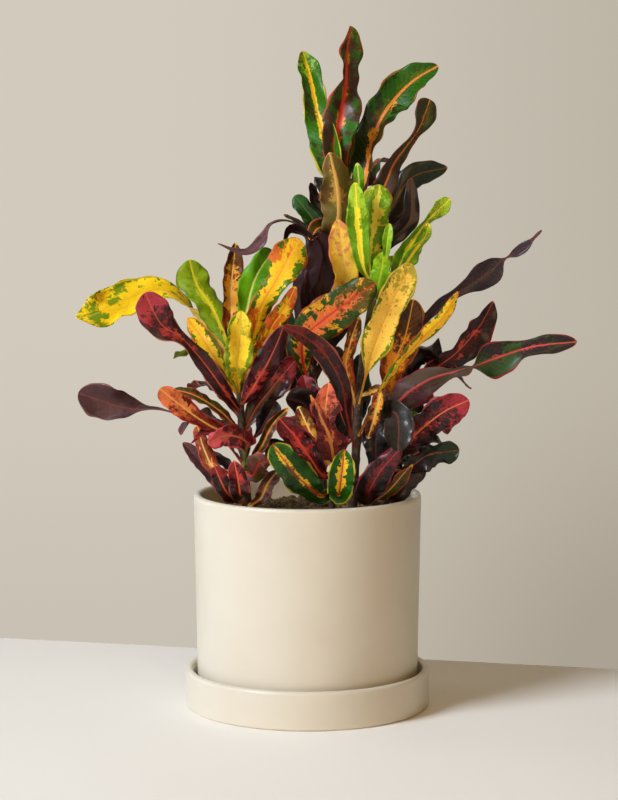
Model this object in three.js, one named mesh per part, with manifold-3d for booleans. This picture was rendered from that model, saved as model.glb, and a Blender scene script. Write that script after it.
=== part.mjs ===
// A potted croton: a bushy shrub of several leafy stems, in peat soil, in a plain cylindrical
// ceramic pot on a matching saucer. Millimetres, +Z up. The origin is the middle of the saucer's
// underside, and the side that is looked at faces -Y.
import * as THREE from "three";
import { mergeVertices } from "three/addons/utils/BufferGeometryUtils.js";
import Module from "manifold-3d";

// Pot and saucer
const potRimRadius = 113.5;
const potFootRadius = 110;
const potTop = 213.8;
const potWall = 7.5;
const potFloor = 8;
const potFootHeight = 3;
const potFootRing = 9;
const drainRadius = 7;
const saucerRadius = 122.4;
const saucerFootRadius = 122;
const saucerTop = 38.3;
const saucerWall = 7.6;
const saucerFloor = 8;
const roundSides = 44;

// Soil
const soilEdge = 191;
const soilCrown = 195;
const soilGap = 0.3;
const stemHoleDepth = 30;

// Stems and leaves
const stemSides = 8;
const bladeThickness = 0.8;
const petioleThickness = 2;
const leastHalfWidth = 1;
const foldRise = 0.18;
const foldRange = 0.3;
const waveRise = 0.26;
const waveRange = 0.16;
const rollRange = 0.22;
const waverShare = 0.09;
const tipCurl = 8;
const curledShare = 0.25;
const roundedTip = 0.12;
const stepLength = 20;
const leastDetail = 0.05;

// The leaves are set out as they are seen from in front. An eye at this height and distance sees
// a point of a stem or leaf at "across" and "up" on the plane y = 0, and "deep" is its own y.
const eyeDistance = 2400;
const eyeHeight = 572;

// Each stem: radius, colour, and [across, up, deep] from the soil to the crown.
const stems = {
  left_shoot: {
    radius: 4.2,
    colour: 0xb98f2c,
    path: [[-60, 200, -5], [-64, 257, -6], [-67, 307, -6], [-69, 342, -6]],
  },
  low_shoot: {
    radius: 3.4,
    colour: 0x9a4a3c,
    path: [[-62, 191, -48], [-64, 226, -50], [-62, 262, -48]],
  },
  tall_shoot: {
    radius: 5.2,
    colour: 0x3c4a2c,
    path: [[15, 203, 24], [11, 267, 28], [5, 327, 28], [6, 377, 25], [18, 437, 18], [33, 482, 12],
        [41, 522, 10]],
  },
  lime_shoot: {
    radius: 4.6,
    colour: 0xa8b83a,
    path: [[45, 196, -24], [49, 267, -28], [51, 307, -30], [57, 357, -32], [63, 397, -32], [68, 424, -32]],
  },
  right_shoot: {
    radius: 4.4,
    colour: 0x5a2530,
    path: [[78, 201, 8], [81, 240, 4], [85, 280, 0], [89, 314, -2]],
  },
  front_shoot: {
    radius: 3.4,
    colour: 0x8a5a34,
    path: [[24, 190, -58], [26, 222, -60], [27, 250, -60]],
  },
};

// Outlines of a blade: its width at even steps from the root to the tip, as shares of the widest.
const outlines = {
  oar: [0.08, 0.14, 0.32, 0.58, 0.82, 0.97, 1, 0.95, 0.8],
  lance: [0.08, 0.22, 0.5, 0.78, 0.95, 1, 0.92, 0.75, 0.5],
  strap: [0.08, 0.3, 0.62, 0.85, 0.97, 1, 0.95, 0.82, 0.6],
  spoon: [0.07, 0.08, 0.12, 0.3, 0.65, 0.93, 1, 0.97, 0.8],
};

// The sighted leaves of each stem. A row holds the colour group, the outline, the full width, the
// share of the stem where the leaf grows, the midrib as [across, up, deep], and the turn of the
// upper face away from the front, in degrees, at even steps along the blade.
const sightedLeaves = {
  left_shoot: [
    ["sulphur", [0.2, 0.4, 0.5, 0.52, 0.4, 0.5, 0.6, 0.66, 0.9, 0.97, 1, 0.92, 0.62], 38, 0.82,
      [[-83, 347, 10], [-104, 384, 22], [-142, 416, 22], [-186, 404, 8], [-211, 392, -6],
      [-229, 388, -14]], [150, 150, 150, 140, 75, 25, 20, 25, 60]],
    ["olive", "oar", 31, 0.95, [[-81, 367, 2], [-95, 399, 12], [-110, 422, 20], [-117, 446, 26]],
      [10, 20, 28, 28]],
    ["amber", [0.2, 0.4, 0.75, 0.95, 1, 1, 0.9, 0.8, 0.5], 21, 0.97, [[-75, 382, 10], [-76, 417, 22],
      [-71, 463, 32]], [15, 20, 20]],
    ["green", "oar", 28, 1, [[-59, 402, 8], [-51, 429, 20], [-35, 455, 34]], [0, 0, 10]],
    ["harlequin", [0.1, 0.35, 0.6, 0.72, 0.6, 0.75, 1, 1, 0.85], 33, 0.95, [[-54, 372, -14],
      [-45, 402, -26], [-30, 427, -36], [-9, 467, -42]], [40, 20, -20, 0]],
    ["flame", "strap", 18, 0.88, [[-49, 352, -20], [-34, 382, -30], [-22, 399, -36], [-12, 420, -40]],
      [20, 10, 10]],
    ["canary", [0.08, 0.12, 0.4, 0.75, 0.95, 1, 1, 0.85, 0.5], 27, 0.78, [[-70, 329, -26],
      [-68, 357, -44], [-65, 395, -52]], [0, 0, 0]],
    ["harlequin", "strap", 18, 0.76, [[-85, 337, -4], [-100, 362, 6], [-118, 388, 18]], [0, 0, 0]],
    ["garnet", [0.1, 0.3, 0.44, 0.48, 0.46, 0.36, 0.7, 1, 0.85], 36, 0.66, [[-85, 319, -26],
      [-104, 345, -36], [-126, 369, -46], [-144, 381, -52], [-161, 413, -56]], [10, 0, 10, 40, 10, 0],
      0.35],
    ["plum", [0.15, 0.3, 0.28, 0.2, 0.1, 0.4, 0.88, 1, 0.85], 34, 0.36, [[-85, 277, 0], [-117, 288, 8],
      [-147, 297, 14], [-179, 298, 16], [-228, 314, 12]], [90, 80, 90, 60, 10, 0]],
    ["bronze", "strap", 14, 0.48, [[-77, 285, -14], [-94, 300, -18], [-111, 310, -20],
      [-135, 319, -18]], [60, 50, 50]],
    ["garnet", "strap", 26, 0.5, [[-52, 297, 0], [-35, 319, 6], [-10, 349, 10]], [0, 0, 0]],
    ["crimson", "strap", 25, 0.7, [[-57, 315, -28], [-42, 339, -42], [-23, 378, -56]], [15, 10, 20]],
    ["bronze", "strap", 11, 0.25, [[-45, 262, -26], [-35, 282, -28], [-19, 299, -28]], [0, 0, 0]],
    ["night", "spoon", 20, 0.4, [[-49, 274, -8], [-40, 290, -10], [-31, 305, -10]], [0, 0, 0]],
  ],
  low_shoot: [
    ["coral", [0.1, 0.3, 0.5, 0.6, 0.65, 0.8, 1, 1, 0.85], 22, 0.95, [[-75, 270, -52], [-97, 281, -60],
      [-117, 294, -68], [-147, 318, -78]], [10, 10, 10, 0]],
    ["tangerine", "strap", 15, 0.5, [[-92, 237, -46], [-103, 257, -44], [-110, 282, -42]], [0, 0, 0]],
    ["plum", "strap", 15, 0.2, [[-92, 226, -34], [-109, 247, -30], [-124, 264, -28]], [20, 20, 20]],
    ["rose", "strap", 22, 0.9, [[-62, 265, -68], [-79, 271, -84], [-100, 264, -94]], [40, 20, -20]],
    ["moss", "lance", 25, 0.6, [[-54, 232, -68], [-48, 243, -74], [-36, 246, -76]], [0, 10, 30]],
    ["ruby", "strap", 17, 0.15, [[-79, 212, -66], [-86, 224, -76], [-93, 241, -82]], [0, 0, 0]],
    ["ruby", "lance", 20, 0.3, [[-67, 212, -76], [-69, 225, -88], [-73, 245, -96]], [0, 0, 0]],
    ["dusk", "strap", 15, 0.1, [[-47, 208, -54], [-41, 221, -58], [-29, 237, -62]], [10, 10, 10]],
  ],
  tall_shoot: [
    ["jade", [0.15, 0.4, 0.75, 1, 1, 0.8, 0.72, 0.75, 0.5], 31, 0.93, [[20, 554, 6], [11, 585, 22],
      [3, 620, 40], [-5, 650, 52]], [-20, -20, 10, 30], 0.3],
    ["jadered", [0.15, 0.4, 0.8, 1, 0.95, 0.82, 0.72, 0.68, 0.66], 35, 0.99, [[28, 553, 4],
      [33, 592, 10], [36, 621, 18], [37, 653, 18], [41, 675, 14]], [0, 0, 15, 50, 55], 0.8],
    ["jadeorange", [0.2, 0.6, 0.95, 1, 0.95, 1, 1, 0.8, 0.5], 35, 0.95, [[54, 515, 4], [64, 559, 14],
      [74, 586, 20], [87, 605, 26], [107, 623, 30], [128, 636, 30]], [-50, -50, -50, -40, -5, -30, -10],
      0.5],
    ["jadedark", [0.1, 0.3, 0.65, 0.85, 0.75, 0.45, 0.3, 0.95, 1], 27, 0.9, [[71, 512, -10],
      [85, 541, -6], [98, 559, 2], [108, 573, 10], [120, 603, 20]], [-20, -10, 20, 45, 0]],
    ["black", "lance", 27, 0.75, [[65, 467, -4], [83, 499, 0], [103, 527, 8], [138, 537, 18]],
      [0, 0, 0]],
    ["night", "strap", 18, 0.7, [[65, 455, -18], [85, 469, -18], [100, 485, -16], [102, 527, -10]],
      [20, 20, 0]],
    ["umber", [0.08, 0.3, 0.62, 0.9, 1, 1, 0.88, 0.62, 0.3], 36, 0.74, [[31, 489, -20], [30, 515, -30],
      [22, 552, -38]], [180, 180, 180]],
    ["apricot", [0.08, 0.15, 0.35, 0.6, 0.85, 1, 1, 0.92, 0.7], 25, 0.5, [[38, 425, -24],
      [35, 452, -36], [30, 486, -42]], [0, 0, 0]],
    ["night", [0.1, 0.4, 0.75, 0.95, 1, 1, 1, 0.95, 0.9], 30, 0.4, [[12, 407, -6], [14, 437, -8],
      [13, 474, -12]], [175, 175, 170]],
    ["bronze", "oar", 15, 0.62, [[21, 474, 4], [11, 477, -4], [3, 464, -10]], [60, 40, 20]],
    ["night", [0.1, 0.5, 0.9, 1, 1, 1, 0.9, 0.8, 0.6], 26, 0.42, [[-7, 417, -8], [4, 445, -8],
      [-2, 469, -10], [-16, 475, -12], [-26, 457, -14]], [150, 145, 135, 100]],
    ["plum", [0.15, 0.6, 0.9, 0.7, 0.5, 0.8, 1, 0.7, 0.5], 12, 0.62, [[1, 467, 12], [-17, 484, 10],
      [-36, 481, 5], [-45, 464, 0], [-61, 453, -2], [-89, 459, 0]], [90, 70, 40, 90, 30, 60]],
    ["black", "strap", 14, 0.66, [[5, 469, 24], [-7, 483, 24], [-21, 493, 20]], [60, 60, 60]],
    ["night", "strap", 13, 0.8, [[15, 482, 22], [9, 497, 26], [1, 521, 28]], [30, 30, 30]],
    ["jade", "oar", 18, 0.72, [[13, 472, 16], [1, 492, 18], [-13, 509, 18]], [0, 0, 0]],
    ["green", "strap", 12, 0.85, [[50, 517, -18], [49, 541, -16]], [0, 0, 0]],
    ["harlequinred", [0.08, 0.1, 0.14, 0.4, 0.8, 1, 1, 0.95, 0.85], 38, 0.28, [[-4, 366, -30],
      [18, 388, -46], [66, 422, -60]], [0, 0, 0]],
    ["night", "oar", 27, 0.12, [[8, 277, -16], [-4, 302, -24], [-23, 307, -28]], [30, 20, 20]],
    ["garnet", "oar", 21, 0.25, [[4, 302, -6], [-4, 331, -8]], [0, 0, 0]],
    ["olive", "oar", 19, 0.3, [[1, 312, 18], [-17, 326, 24]], [180, 180, 180]],
    ["night", "lance", 24, 0.18, [[24, 282, 6], [32, 318, 2], [30, 360, 4]], [0, 0, 0]],
    ["black", "lance", 24, 0.24, [[-12, 330, 22], [-22, 362, 26], [-18, 396, 34]], [0, 0, 0]],
    ["black", "strap", 22, 0.06, [[-8, 236, 10], [-30, 258, 4], [-46, 262, 0]], [20, 10, 0]],
    ["night", "lance", 26, 0.36, [[30, 382, 30], [50, 412, 34], [62, 450, 44]], [0, 0, 0]],
    ["black", "lance", 27, 0.1, [[30, 262, 14], [47, 300, 16], [52, 352, 18]], [0, 0, 0]],
  ],
  lime_shoot: [
    ["limestripe", "lance", 22, 0.97, [[56, 437, -42], [51, 472, -48], [47, 522, -44]], [0, 0, 0]],
    ["limespot", "oar", 29, 0.95, [[61, 445, -34], [65, 477, -34], [71, 520, -30]], [0, 0, 0]],
    ["lime", "spoon", 9, 1, [[77, 449, -46], [79, 467, -48], [81, 482, -46]], [0, 0, 0]],
    ["green", "strap", 10, 1, [[67, 439, -34], [72, 457, -32]], [0, 0, 0]],
    ["lime", "lance", 20, 0.93, [[67, 409, -42], [72, 430, -46], [76, 454, -48]], [0, 0, 0]],
    ["limestripe", [0.1, 0.4, 0.8, 1, 0.9, 0.6, 0.45, 1, 0.9], 18, 0.98, [[85, 429, -38],
      [98, 455, -36], [117, 483, -30], [140, 506, -22]], [0, 0, 40, 0]],
    ["limestripe", "lance", 14, 0.96, [[91, 435, -44], [106, 457, -48], [116, 469, -50],
      [120, 482, -50]], [40, 40, 30]],
    ["ochre", [0.06, 0.06, 0.08, 0.5, 1, 1, 0.95, 0.92, 0.85], 29, 0.45, [[59, 335, -60],
      [67, 362, -76], [83, 402, -92], [103, 443, -104]], [0, 0, 0, 0]],
    ["harlequin", [0.2, 0.35, 0.5, 0.6, 0.75, 0.95, 1, 0.9, 0.6], 14, 0.3, [[71, 312, -56],
      [93, 345, -66], [118, 372, -78], [136, 390, -88], [150, 413, -96]], [60, 60, 50, 20, 20]],
    ["amber", "strap", 14, 0.42, [[38, 342, -42], [42, 362, -44], [50, 390, -42]], [20, 20, 20]],
    ["amber", "strap", 13, 0.5, [[71, 315, -56], [67, 292, -54], [60, 267, -52]], [0, 0, 0]],
    ["maroon", [0.08, 0.2, 0.5, 0.8, 0.95, 1, 1, 0.9, 0.6], 19, 0.25, [[39, 292, -50], [34, 322, -70],
      [17, 352, -86], [-4, 370, -96], [-26, 379, -100]], [0, 0, 0, 15, 30]],
  ],
  right_shoot: [
    ["plumdark", [0.08, 0.12, 0.2, 0.35, 0.5, 0.55, 0.5, 0.45, 0.45, 0.42, 0.4, 0.45, 0.6, 0.9, 1, 0.75,
      0.06, 0.38, 0.42, 0.15, 0.3], 26, 1, [[101, 357, 12], [114, 385, 20], [133, 404, 28],
      [155, 418, 34], [177, 432, 38], [192, 445, 38], [212, 457, 36], [231, 475, 30]],
      [0, 0, 20, 40, 20, 0, 0, 0, 0]],
    ["ember", "strap", 32, 0.9, [[83, 335, -18], [96, 367, -26], [105, 407, -30]], [0, 0, 0]],
    ["scarletblack", "lance", 32, 0.85, [[118, 332, 14], [148, 355, 22], [171, 382, 28],
      [184, 405, 30]], [30, 30, 30]],
    ["scarletgreen", [0.1, 0.3, 0.6, 0.8, 0.83, 0.8, 0.6, 0.35, 0.55, 0.9, 1, 0.8, 0.5, 0.5, 0.58, 0.52,
      0.45], 36, 0.75, [[93, 307, -26], [121, 327, -36], [153, 337, -44], [190, 350, -50],
      [223, 360, -52], [267, 365, -52]], [170, 170, 150, 20, 0, 0]],
    ["night", "oar", 20, 0.95, [[101, 332, 6], [113, 350, 6], [131, 345, 2]], [40, 40, 40]],
    ["ruby", [0.1, 0.3, 0.6, 0.9, 1, 0.8, 0.95, 0.9, 0.7], 34, 0.55, [[95, 261, -30], [113, 277, -44],
      [136, 295, -58], [161, 307, -68]], [0, 0, 0]],
    ["black", "oar", 25, 0.35, [[98, 237, -22], [121, 252, -34], [151, 256, -44]], [10, 10, 10]],
    ["slate", "oar", 28, 0.6, [[82, 295, -42], [90, 289, -66], [90, 254, -84]], [0, 0, 0]],
    ["rubydark", "lance", 27, 0.1, [[61, 212, -62], [73, 235, -76], [93, 258, -84]], [0, 0, 0]],
    ["bronze", "lance", 16, 0.08, [[71, 207, -50], [85, 220, -58], [103, 244, -62]], [40, 40, 40]],
    ["night", "lance", 17, 0.05, [[88, 207, -18], [100, 222, -18], [121, 247, -16]], [20, 20, 20]],
    ["jade", "oar", 17, 0.6, [[98, 275, 0], [110, 293, 4]], [0, 0, 0]],
    ["scarlet", "oar", 14, 0.8, [[103, 304, 5], [126, 312, 8]], [0, 0, 0]],
    ["black", "strap", 24, 0.4, [[94, 262, 14], [104, 300, 20], [100, 336, 26]], [0, 0, 0]],
    ["night", "lance", 26, 0.2, [[70, 238, -2], [68, 268, 0], [70, 306, 8]], [0, 0, 0]],
  ],
  front_shoot: [
    ["salmon", [0.2, 0.7, 1, 0.95, 0.6, 0.6, 0.95, 0.6, 0.3], 32, 0.9, [[23, 266, -74], [18, 290, -86],
      [21, 324, -92]], [0, 0, 0], 0.3],
    ["crimsonjade", "strap", 30, 0.5, [[15, 210, -80], [-2, 222, -94], [-19, 241, -104],
      [-35, 262, -108]], [0, 0, 0]],
    ["jadeyellow", "lance", 26, 0.6, [[31, 212, -82], [34, 231, -94], [37, 257, -98]], [0, 0, 0]],
    ["scarlet", "strap", 27, 0.7, [[15, 232, -70], [1, 251, -80], [-13, 271, -86], [-28, 288, -88]],
      [0, 0, 0]],
    ["amber", "strap", 17, 0.85, [[19, 245, -66], [6, 268, -66], [-9, 300, -60]], [0, 0, 0]],
    ["salmon", [0.2, 0.4, 0.5, 0.6, 0.9, 1, 0.9, 0.6, 0.3], 9, 0.95, [[22, 270, -78], [12, 292, -90],
      [3, 312, -94]], [0, 0, 0]],
  ],
};

// The leaves round the back and sides. A row holds the colour group, the outline, the full width,
// the share of the stem, the compass direction in degrees from +X, the reach out from the stem,
// the rise to the highest point of the blade, and the droop of its tip below that.
const outwardLeaves = {
  left_shoot: [
    ["sulphur", "lance", 26, 0.9, 120, 62, 60, 8],
    ["olive", "strap", 24, 0.8, 165, 70, 44, 10],
    ["garnet", "lance", 26, 0.6, 135, 78, 36, 14],
    ["plum", "strap", 22, 0.45, 200, 66, 28, 16],
    ["harlequin", "lance", 25, 0.7, 75, 52, 52, 6],
    ["night", "strap", 20, 0.15, 150, 62, 32, 10],
    ["ruby", "strap", 20, 0.28, 95, 60, 30, 10],
  ],
  low_shoot: [
    ["ruby", "strap", 18, 0.7, 205, 55, 34, 10],
  ],
  tall_shoot: [
    ["jade", "lance", 30, 0.95, 100, 55, 88, 10],
    ["jadered", "lance", 30, 0.88, 35, 74, 62, 14],
    ["black", "lance", 30, 0.82, 97, 72, 60, 14],
    ["night", "lance", 28, 0.72, 85, 88, 48, 20],
    ["umber", "strap", 26, 0.62, 130, 80, 40, 22],
    ["black", "lance", 28, 0.55, 60, 90, 36, 22],
    ["garnet", "lance", 30, 0.45, 105, 96, 34, 20],
    ["night", "strap", 26, 0.35, 145, 84, 30, 18],
    ["plum", "lance", 28, 0.25, 75, 92, 26, 20],
    ["ruby", "strap", 24, 0.16, 115, 82, 30, 16],
    ["black", "strap", 24, 0.08, 60, 76, 34, 14],
    ["garnet", "strap", 22, 0.05, 150, 70, 36, 12],
  ],
  lime_shoot: [
    ["limespot", "lance", 21, 0.9, 52, 34, 44, 6],
  ],
  right_shoot: [
    ["black", "lance", 30, 0.9, 55, 80, 52, 16],
    ["scarletgreen", "lance", 28, 0.78, 25, 88, 44, 18],
    ["garnet", "lance", 28, 0.6, 80, 84, 40, 18],
    ["ruby", "strap", 24, 0.45, 40, 80, 30, 14],
    ["black", "strap", 22, 0.3, 15, 70, 28, 12],
    ["night", "strap", 22, 0.12, 70, 58, 34, 8],
  ],
  front_shoot: [
  ],
};

function sighted([across, up, deep]) {
  const nearness = 1 + deep / eyeDistance;
  return new THREE.Vector3(across * nearness, deep, eyeHeight + (up - eyeHeight) * nearness);
}

// A smooth run through a list of numbers at even steps, read at share s.
function smoothAt(list, s) {
  const curve = new THREE.CatmullRomCurve3(
    list.map((value) => new THREE.Vector3(value, 0, 0)), false, "catmullrom", 0.5);
  return curve.getPoint(s).x;
}

function evenlyAt(list, s) {
  const x = s * (list.length - 1);
  const i = Math.min(Math.floor(x), list.length - 2);
  return list[i] + (list[i + 1] - list[i]) * (x - i);
}

function stemCurve(stem) {
  return new THREE.CatmullRomCurve3(stems[stem].path.map(sighted));
}

// The midrib of a leaf that was set out by direction, reach, rise and droop.
function outwardMidrib(root, [, , , , direction, reach, rise, droop]) {
  const angle = THREE.MathUtils.degToRad(direction);
  const out = new THREE.Vector3(Math.cos(angle), Math.sin(angle), 0);
  const at = (share, height) => root.clone().addScaledVector(out, reach * share).setZ(root.z + height);
  return [root, at(0.3, rise * 0.6), at(0.68, rise), at(1, rise - droop)];
}

// A leaf is one thin closed blade. Three points cross it at each step: two margins, which fold up
// or back from the midrib and wave, and the midrib between. Its tip curls forward or back. Both
// faces are split the same way.
function leafSolid(points, outline, width, turns, reference, phase, ownFold) {
  const midrib = new THREE.CatmullRomCurve3(points);
  const steps = THREE.MathUtils.clamp(Math.round(midrib.getLength() / stepLength), 5, 11);
  const shares = typeof outline === "string" ? outlines[outline] : outline;
  const centres = Array.from({ length: steps + 1 }, (_, i) => midrib.getPointAt(i / steps));
  const foldShare = ownFold ?? foldRise - foldRange * Math.sin(1.7 * phase + 0.6);
  const waveShare = waveRise + waveRange * Math.sin(2.3 * phase);
  const rollShare = rollRange * Math.sin(2.9 * phase + 1);
  const positions = [];
  for (let i = 0; i <= steps; i++) {
    const s = i / steps;
    const before = centres[Math.max(i - 1, 0)];
    const after = centres[Math.min(i + 1, steps)];
    const along = after.clone().sub(before).normalize();
    const facing = reference.clone().addScaledVector(along, -reference.dot(along)).normalize();
    facing.applyAxisAngle(along, THREE.MathUtils.degToRad(evenlyAt(turns, s)));
    const side = along.clone().cross(facing);
    const tip = Math.sqrt(Math.max(0, 1 - Math.max(0, (s - 1 + roundedTip) / roundedTip) ** 2));
    const half = Math.max(smoothAt(shares, s) * tip * width / 2, leastHalfWidth);
    const slim = Math.max(0, 1 - half / 4);
    const thick = (bladeThickness + (petioleThickness - bladeThickness) * slim * (1 - s)) / 2;
    const curl = tipCurl * Math.sin(3.1 * phase) * Math.max(0, (s - 1 + curledShare) / curledShare) ** 2;
    for (const face of [1, -1]) {
      for (const x of [-1, 0, 1]) {
        const fold = foldShare * Math.sqrt(x * x + 0.03) + rollShare * x ** 4;
        const wave = waveShare * x * x * Math.sin(2 * Math.PI * (2.2 * s + 0.13 * phase + 0.27 * x));
        const waver = waverShare * (1 - slim) * Math.sin(2 * Math.PI * (2.6 * s + 0.37 * phase + 0.45 * x));
        const point = centres[i].clone()
          .addScaledVector(side, half * x * (1 + waver))
          .addScaledVector(facing, half * (fold + wave) + curl + face * thick);
        positions.push(point.x, point.y, point.z);
      }
    }
  }
  const triangles = [];
  const quad = (a, b, c, d) => triangles.push(a, b, c, a, c, d);
  for (let i = 0; i < steps; i++) {
    const a = i * 6;
    const b = a + 6;
    quad(a, a + 1, b + 1, b);
    quad(a + 1, a + 2, b + 2, b + 1);
    triangles.push(a + 3, b + 4, a + 4, a + 3, b + 3, b + 4);
    triangles.push(a + 4, b + 5, a + 5, a + 4, b + 4, b + 5);
    quad(a + 3, a, b, b + 3);
    quad(a + 2, a + 5, b + 5, b + 2);
  }
  const last = steps * 6;
  quad(0, 3, 4, 1);
  quad(1, 4, 5, 2);
  quad(last + 3, last, last + 1, last + 4);
  quad(last + 4, last + 1, last + 2, last + 5);
  return outward(positions, triangles);
}

const wasm = await Module();
wasm.setup();

// A closed set of triangles as a solid, turned inside out if its faces point in.
function outward(positions, triangles) {
  let volume = 0;
  const corner = (k) => new THREE.Vector3().fromArray(positions, triangles[k] * 3);
  for (let k = 0; k < triangles.length; k += 3) {
    volume += corner(k).dot(corner(k + 1).cross(corner(k + 2)));
  }
  if (volume < 0) {
    for (let k = 0; k < triangles.length; k += 3) {
      [triangles[k], triangles[k + 1]] = [triangles[k + 1], triangles[k]];
    }
  }
  const vertProperties = new Float32Array(positions);
  const triVerts = new Uint32Array(triangles);
  return new wasm.Manifold(new wasm.Mesh({ numProp: 3, vertProperties, triVerts }));
}

function solid(geometry) {
  const bare = geometry.clone();
  bare.deleteAttribute("normal");
  bare.deleteAttribute("uv");
  const merged = mergeVertices(bare, 1e-4);
  return outward(Array.from(merged.attributes.position.array), Array.from(merged.index.array));
}

// The largest body of a solid, as a geometry, without edges too short to matter.
function geometryOf(result) {
  const bodies = result.simplify(leastDetail).decompose();
  const main = bodies.reduce((best, body) => (body.volume() > best.volume() ? body : best));
  const mesh = main.getMesh();
  const geometry = new THREE.BufferGeometry();
  geometry.setAttribute("position", new THREE.BufferAttribute(new Float32Array(mesh.vertProperties), 3));
  geometry.setIndex(new THREE.BufferAttribute(new Uint32Array(mesh.triVerts), 1));
  geometry.computeVertexNormals();
  return geometry;
}

function upright(radius, low, high, x, y) {
  const cylinder = new THREE.CylinderGeometry(radius, radius, high - low, stemSides);
  cylinder.rotateX(Math.PI / 2);
  cylinder.translate(x, y, (low + high) / 2);
  return cylinder;
}

function lathe(profile) {
  const geometry = new THREE.LatheGeometry(profile.map(([r, z]) => new THREE.Vector2(r, z)), roundSides);
  geometry.rotateX(Math.PI / 2);
  return geometry;
}

const group = new THREE.Group();

function add(name, geometry, colour, roughness) {
  const material = new THREE.MeshStandardMaterial({ color: colour, roughness, metalness: 0 });
  material.name = name;
  const mesh = new THREE.Mesh(geometry, material);
  mesh.name = name;
  group.add(mesh);
}

// Saucer: an open dish with a rounded rim and a small chamfer round its flat foot.
const saucerInner = saucerRadius - saucerWall;
const saucer = solid(lathe([
  [0, 0], [saucerFootRadius - 1.5, 0], [saucerFootRadius, 1.5], [saucerRadius, saucerTop - 3.2],
  [saucerRadius - 0.9, saucerTop - 1], [saucerRadius - 3, saucerTop],
  [saucerInner + 2.6, saucerTop], [saucerInner + 0.8, saucerTop - 1], [saucerInner, saucerTop - 3.2],
  [saucerInner - 0.5, saucerFloor + 3], [saucerInner - 3.5, saucerFloor], [0, saucerFloor],
]));
add("saucer", geometryOf(saucer), 0xe9e0cf, 0.45);

// Pot: a nearly straight cylinder that stands on a foot ring, with a drain hole in its floor.
const potLow = saucerFloor;
const potInner = potRimRadius - potWall;
const potInside = potLow + potFootHeight + potFloor;
const potBody = solid(lathe([
  [0, potLow + potFootHeight], [potFootRadius - potFootRing - 2, potLow + potFootHeight],
  [potFootRadius - potFootRing, potLow], [potFootRadius - 1.5, potLow],
  [potFootRadius, potLow + 1.5], [potRimRadius, potTop - 3.4], [potRimRadius - 0.9, potTop - 1],
  [potRimRadius - 3, potTop], [potInner + 2.6, potTop], [potInner + 0.8, potTop - 1],
  [potInner, potTop - 3.4], [potFootRadius - potWall, potInside + 4],
  [potFootRadius - potWall - 4, potInside], [0, potInside],
]));
const drain = solid(upright(drainRadius, potLow - 1, potInside + 1, 0, 0));
add("pot", geometryOf(potBody.subtract(drain)), 0xe9e0cf, 0.45);

// Soil: it fills the pot to just below the rim, and each stem stands in a hole of its own.
const slope = (potInner - potFootRadius + potWall) / (potTop - 3.4 - potInside - 4);
const soilAt = (z) => potFootRadius - potWall + slope * (z - potInside - 4) - soilGap;
let soil = solid(lathe([
  [0, potInside], [soilAt(potInside) - 4.2, potInside], [soilAt(potInside + 4), potInside + 4.3],
  [soilAt(soilEdge - 3), soilEdge - 3], [soilAt(soilEdge) - 2, soilEdge],
  [88, soilEdge + 2.4], [55, soilCrown - 1.2], [24, soilCrown], [0, soilCrown - 0.6],
]));
for (const { radius, path } of Object.values(stems)) {
  const foot = sighted(path[0]);
  soil = soil.subtract(solid(upright(radius + 0.4, soilCrown - stemHoleDepth, 220, foot.x, foot.y)));
}
add("soil", geometryOf(soil), 0x3a2a1e, 0.95);

// Leafy stems: a straight foot down in the soil, the woody stem, and every leaf that grows on it.
const up = new THREE.Vector3(0, 0, 1);
const front = new THREE.Vector3(0, -1, 0);
for (const [name, { radius, colour, path }] of Object.entries(stems)) {
  const curve = stemCurve(name);
  const foot = sighted(path[0]);
  const outline = new THREE.Shape();
  for (let k = 0; k < stemSides; k++) {
    const angle = (k + 0.5) * 2 * Math.PI / stemSides;
    outline[k ? "lineTo" : "moveTo"](radius * Math.cos(angle), radius * Math.sin(angle));
  }
  const steps = path.length * 2;
  const tube = new THREE.ExtrudeGeometry(outline, { steps, extrudePath: curve });
  const low = soilCrown - stemHoleDepth + 0.4;
  let shoot = solid(tube).add(solid(upright(radius, low, foot.z + 3, foot.x, foot.y)));
  const leaves = [];
  sightedLeaves[name].forEach(([, shape, width, share, midrib, turns, ownFold], k) => {
    const points = [curve.getPointAt(share), ...midrib.map(sighted)];
    leaves.push(leafSolid(points, shape, width, turns, front, k, ownFold));
  });
  outwardLeaves[name].forEach((row, k) => {
    const points = outwardMidrib(curve.getPointAt(row[3]), row);
    leaves.push(leafSolid(points, row[1], row[2], [0, 0], up, k + 3));
  });
  shoot = wasm.Manifold.union([shoot, ...leaves]);
  add(name, geometryOf(shoot), colour, 0.4);
}

export default group;
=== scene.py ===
import itertools
import math

import bpy
import numpy as np
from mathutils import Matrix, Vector


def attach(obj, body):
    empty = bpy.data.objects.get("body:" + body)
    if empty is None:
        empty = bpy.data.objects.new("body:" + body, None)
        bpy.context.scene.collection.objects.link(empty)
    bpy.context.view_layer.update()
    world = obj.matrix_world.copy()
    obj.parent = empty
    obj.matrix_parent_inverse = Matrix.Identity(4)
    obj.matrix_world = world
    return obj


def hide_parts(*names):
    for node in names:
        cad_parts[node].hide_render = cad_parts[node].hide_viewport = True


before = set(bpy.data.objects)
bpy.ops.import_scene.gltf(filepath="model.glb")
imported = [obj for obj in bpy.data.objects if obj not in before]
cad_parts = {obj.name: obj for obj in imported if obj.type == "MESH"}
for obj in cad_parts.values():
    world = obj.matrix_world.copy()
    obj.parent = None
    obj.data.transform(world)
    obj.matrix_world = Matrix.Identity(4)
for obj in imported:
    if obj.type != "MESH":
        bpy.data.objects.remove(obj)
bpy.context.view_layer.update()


# Camera. It stands 2.4 m in front of the pot, level with the plant's upper leaves, and looks down
# a little, with a portrait lens.
def placed(name, data):
    """An object for the data, at the middle of the scene."""
    made = bpy.data.objects.new(name, data)
    bpy.context.collection.objects.link(made)
    return made


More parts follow.
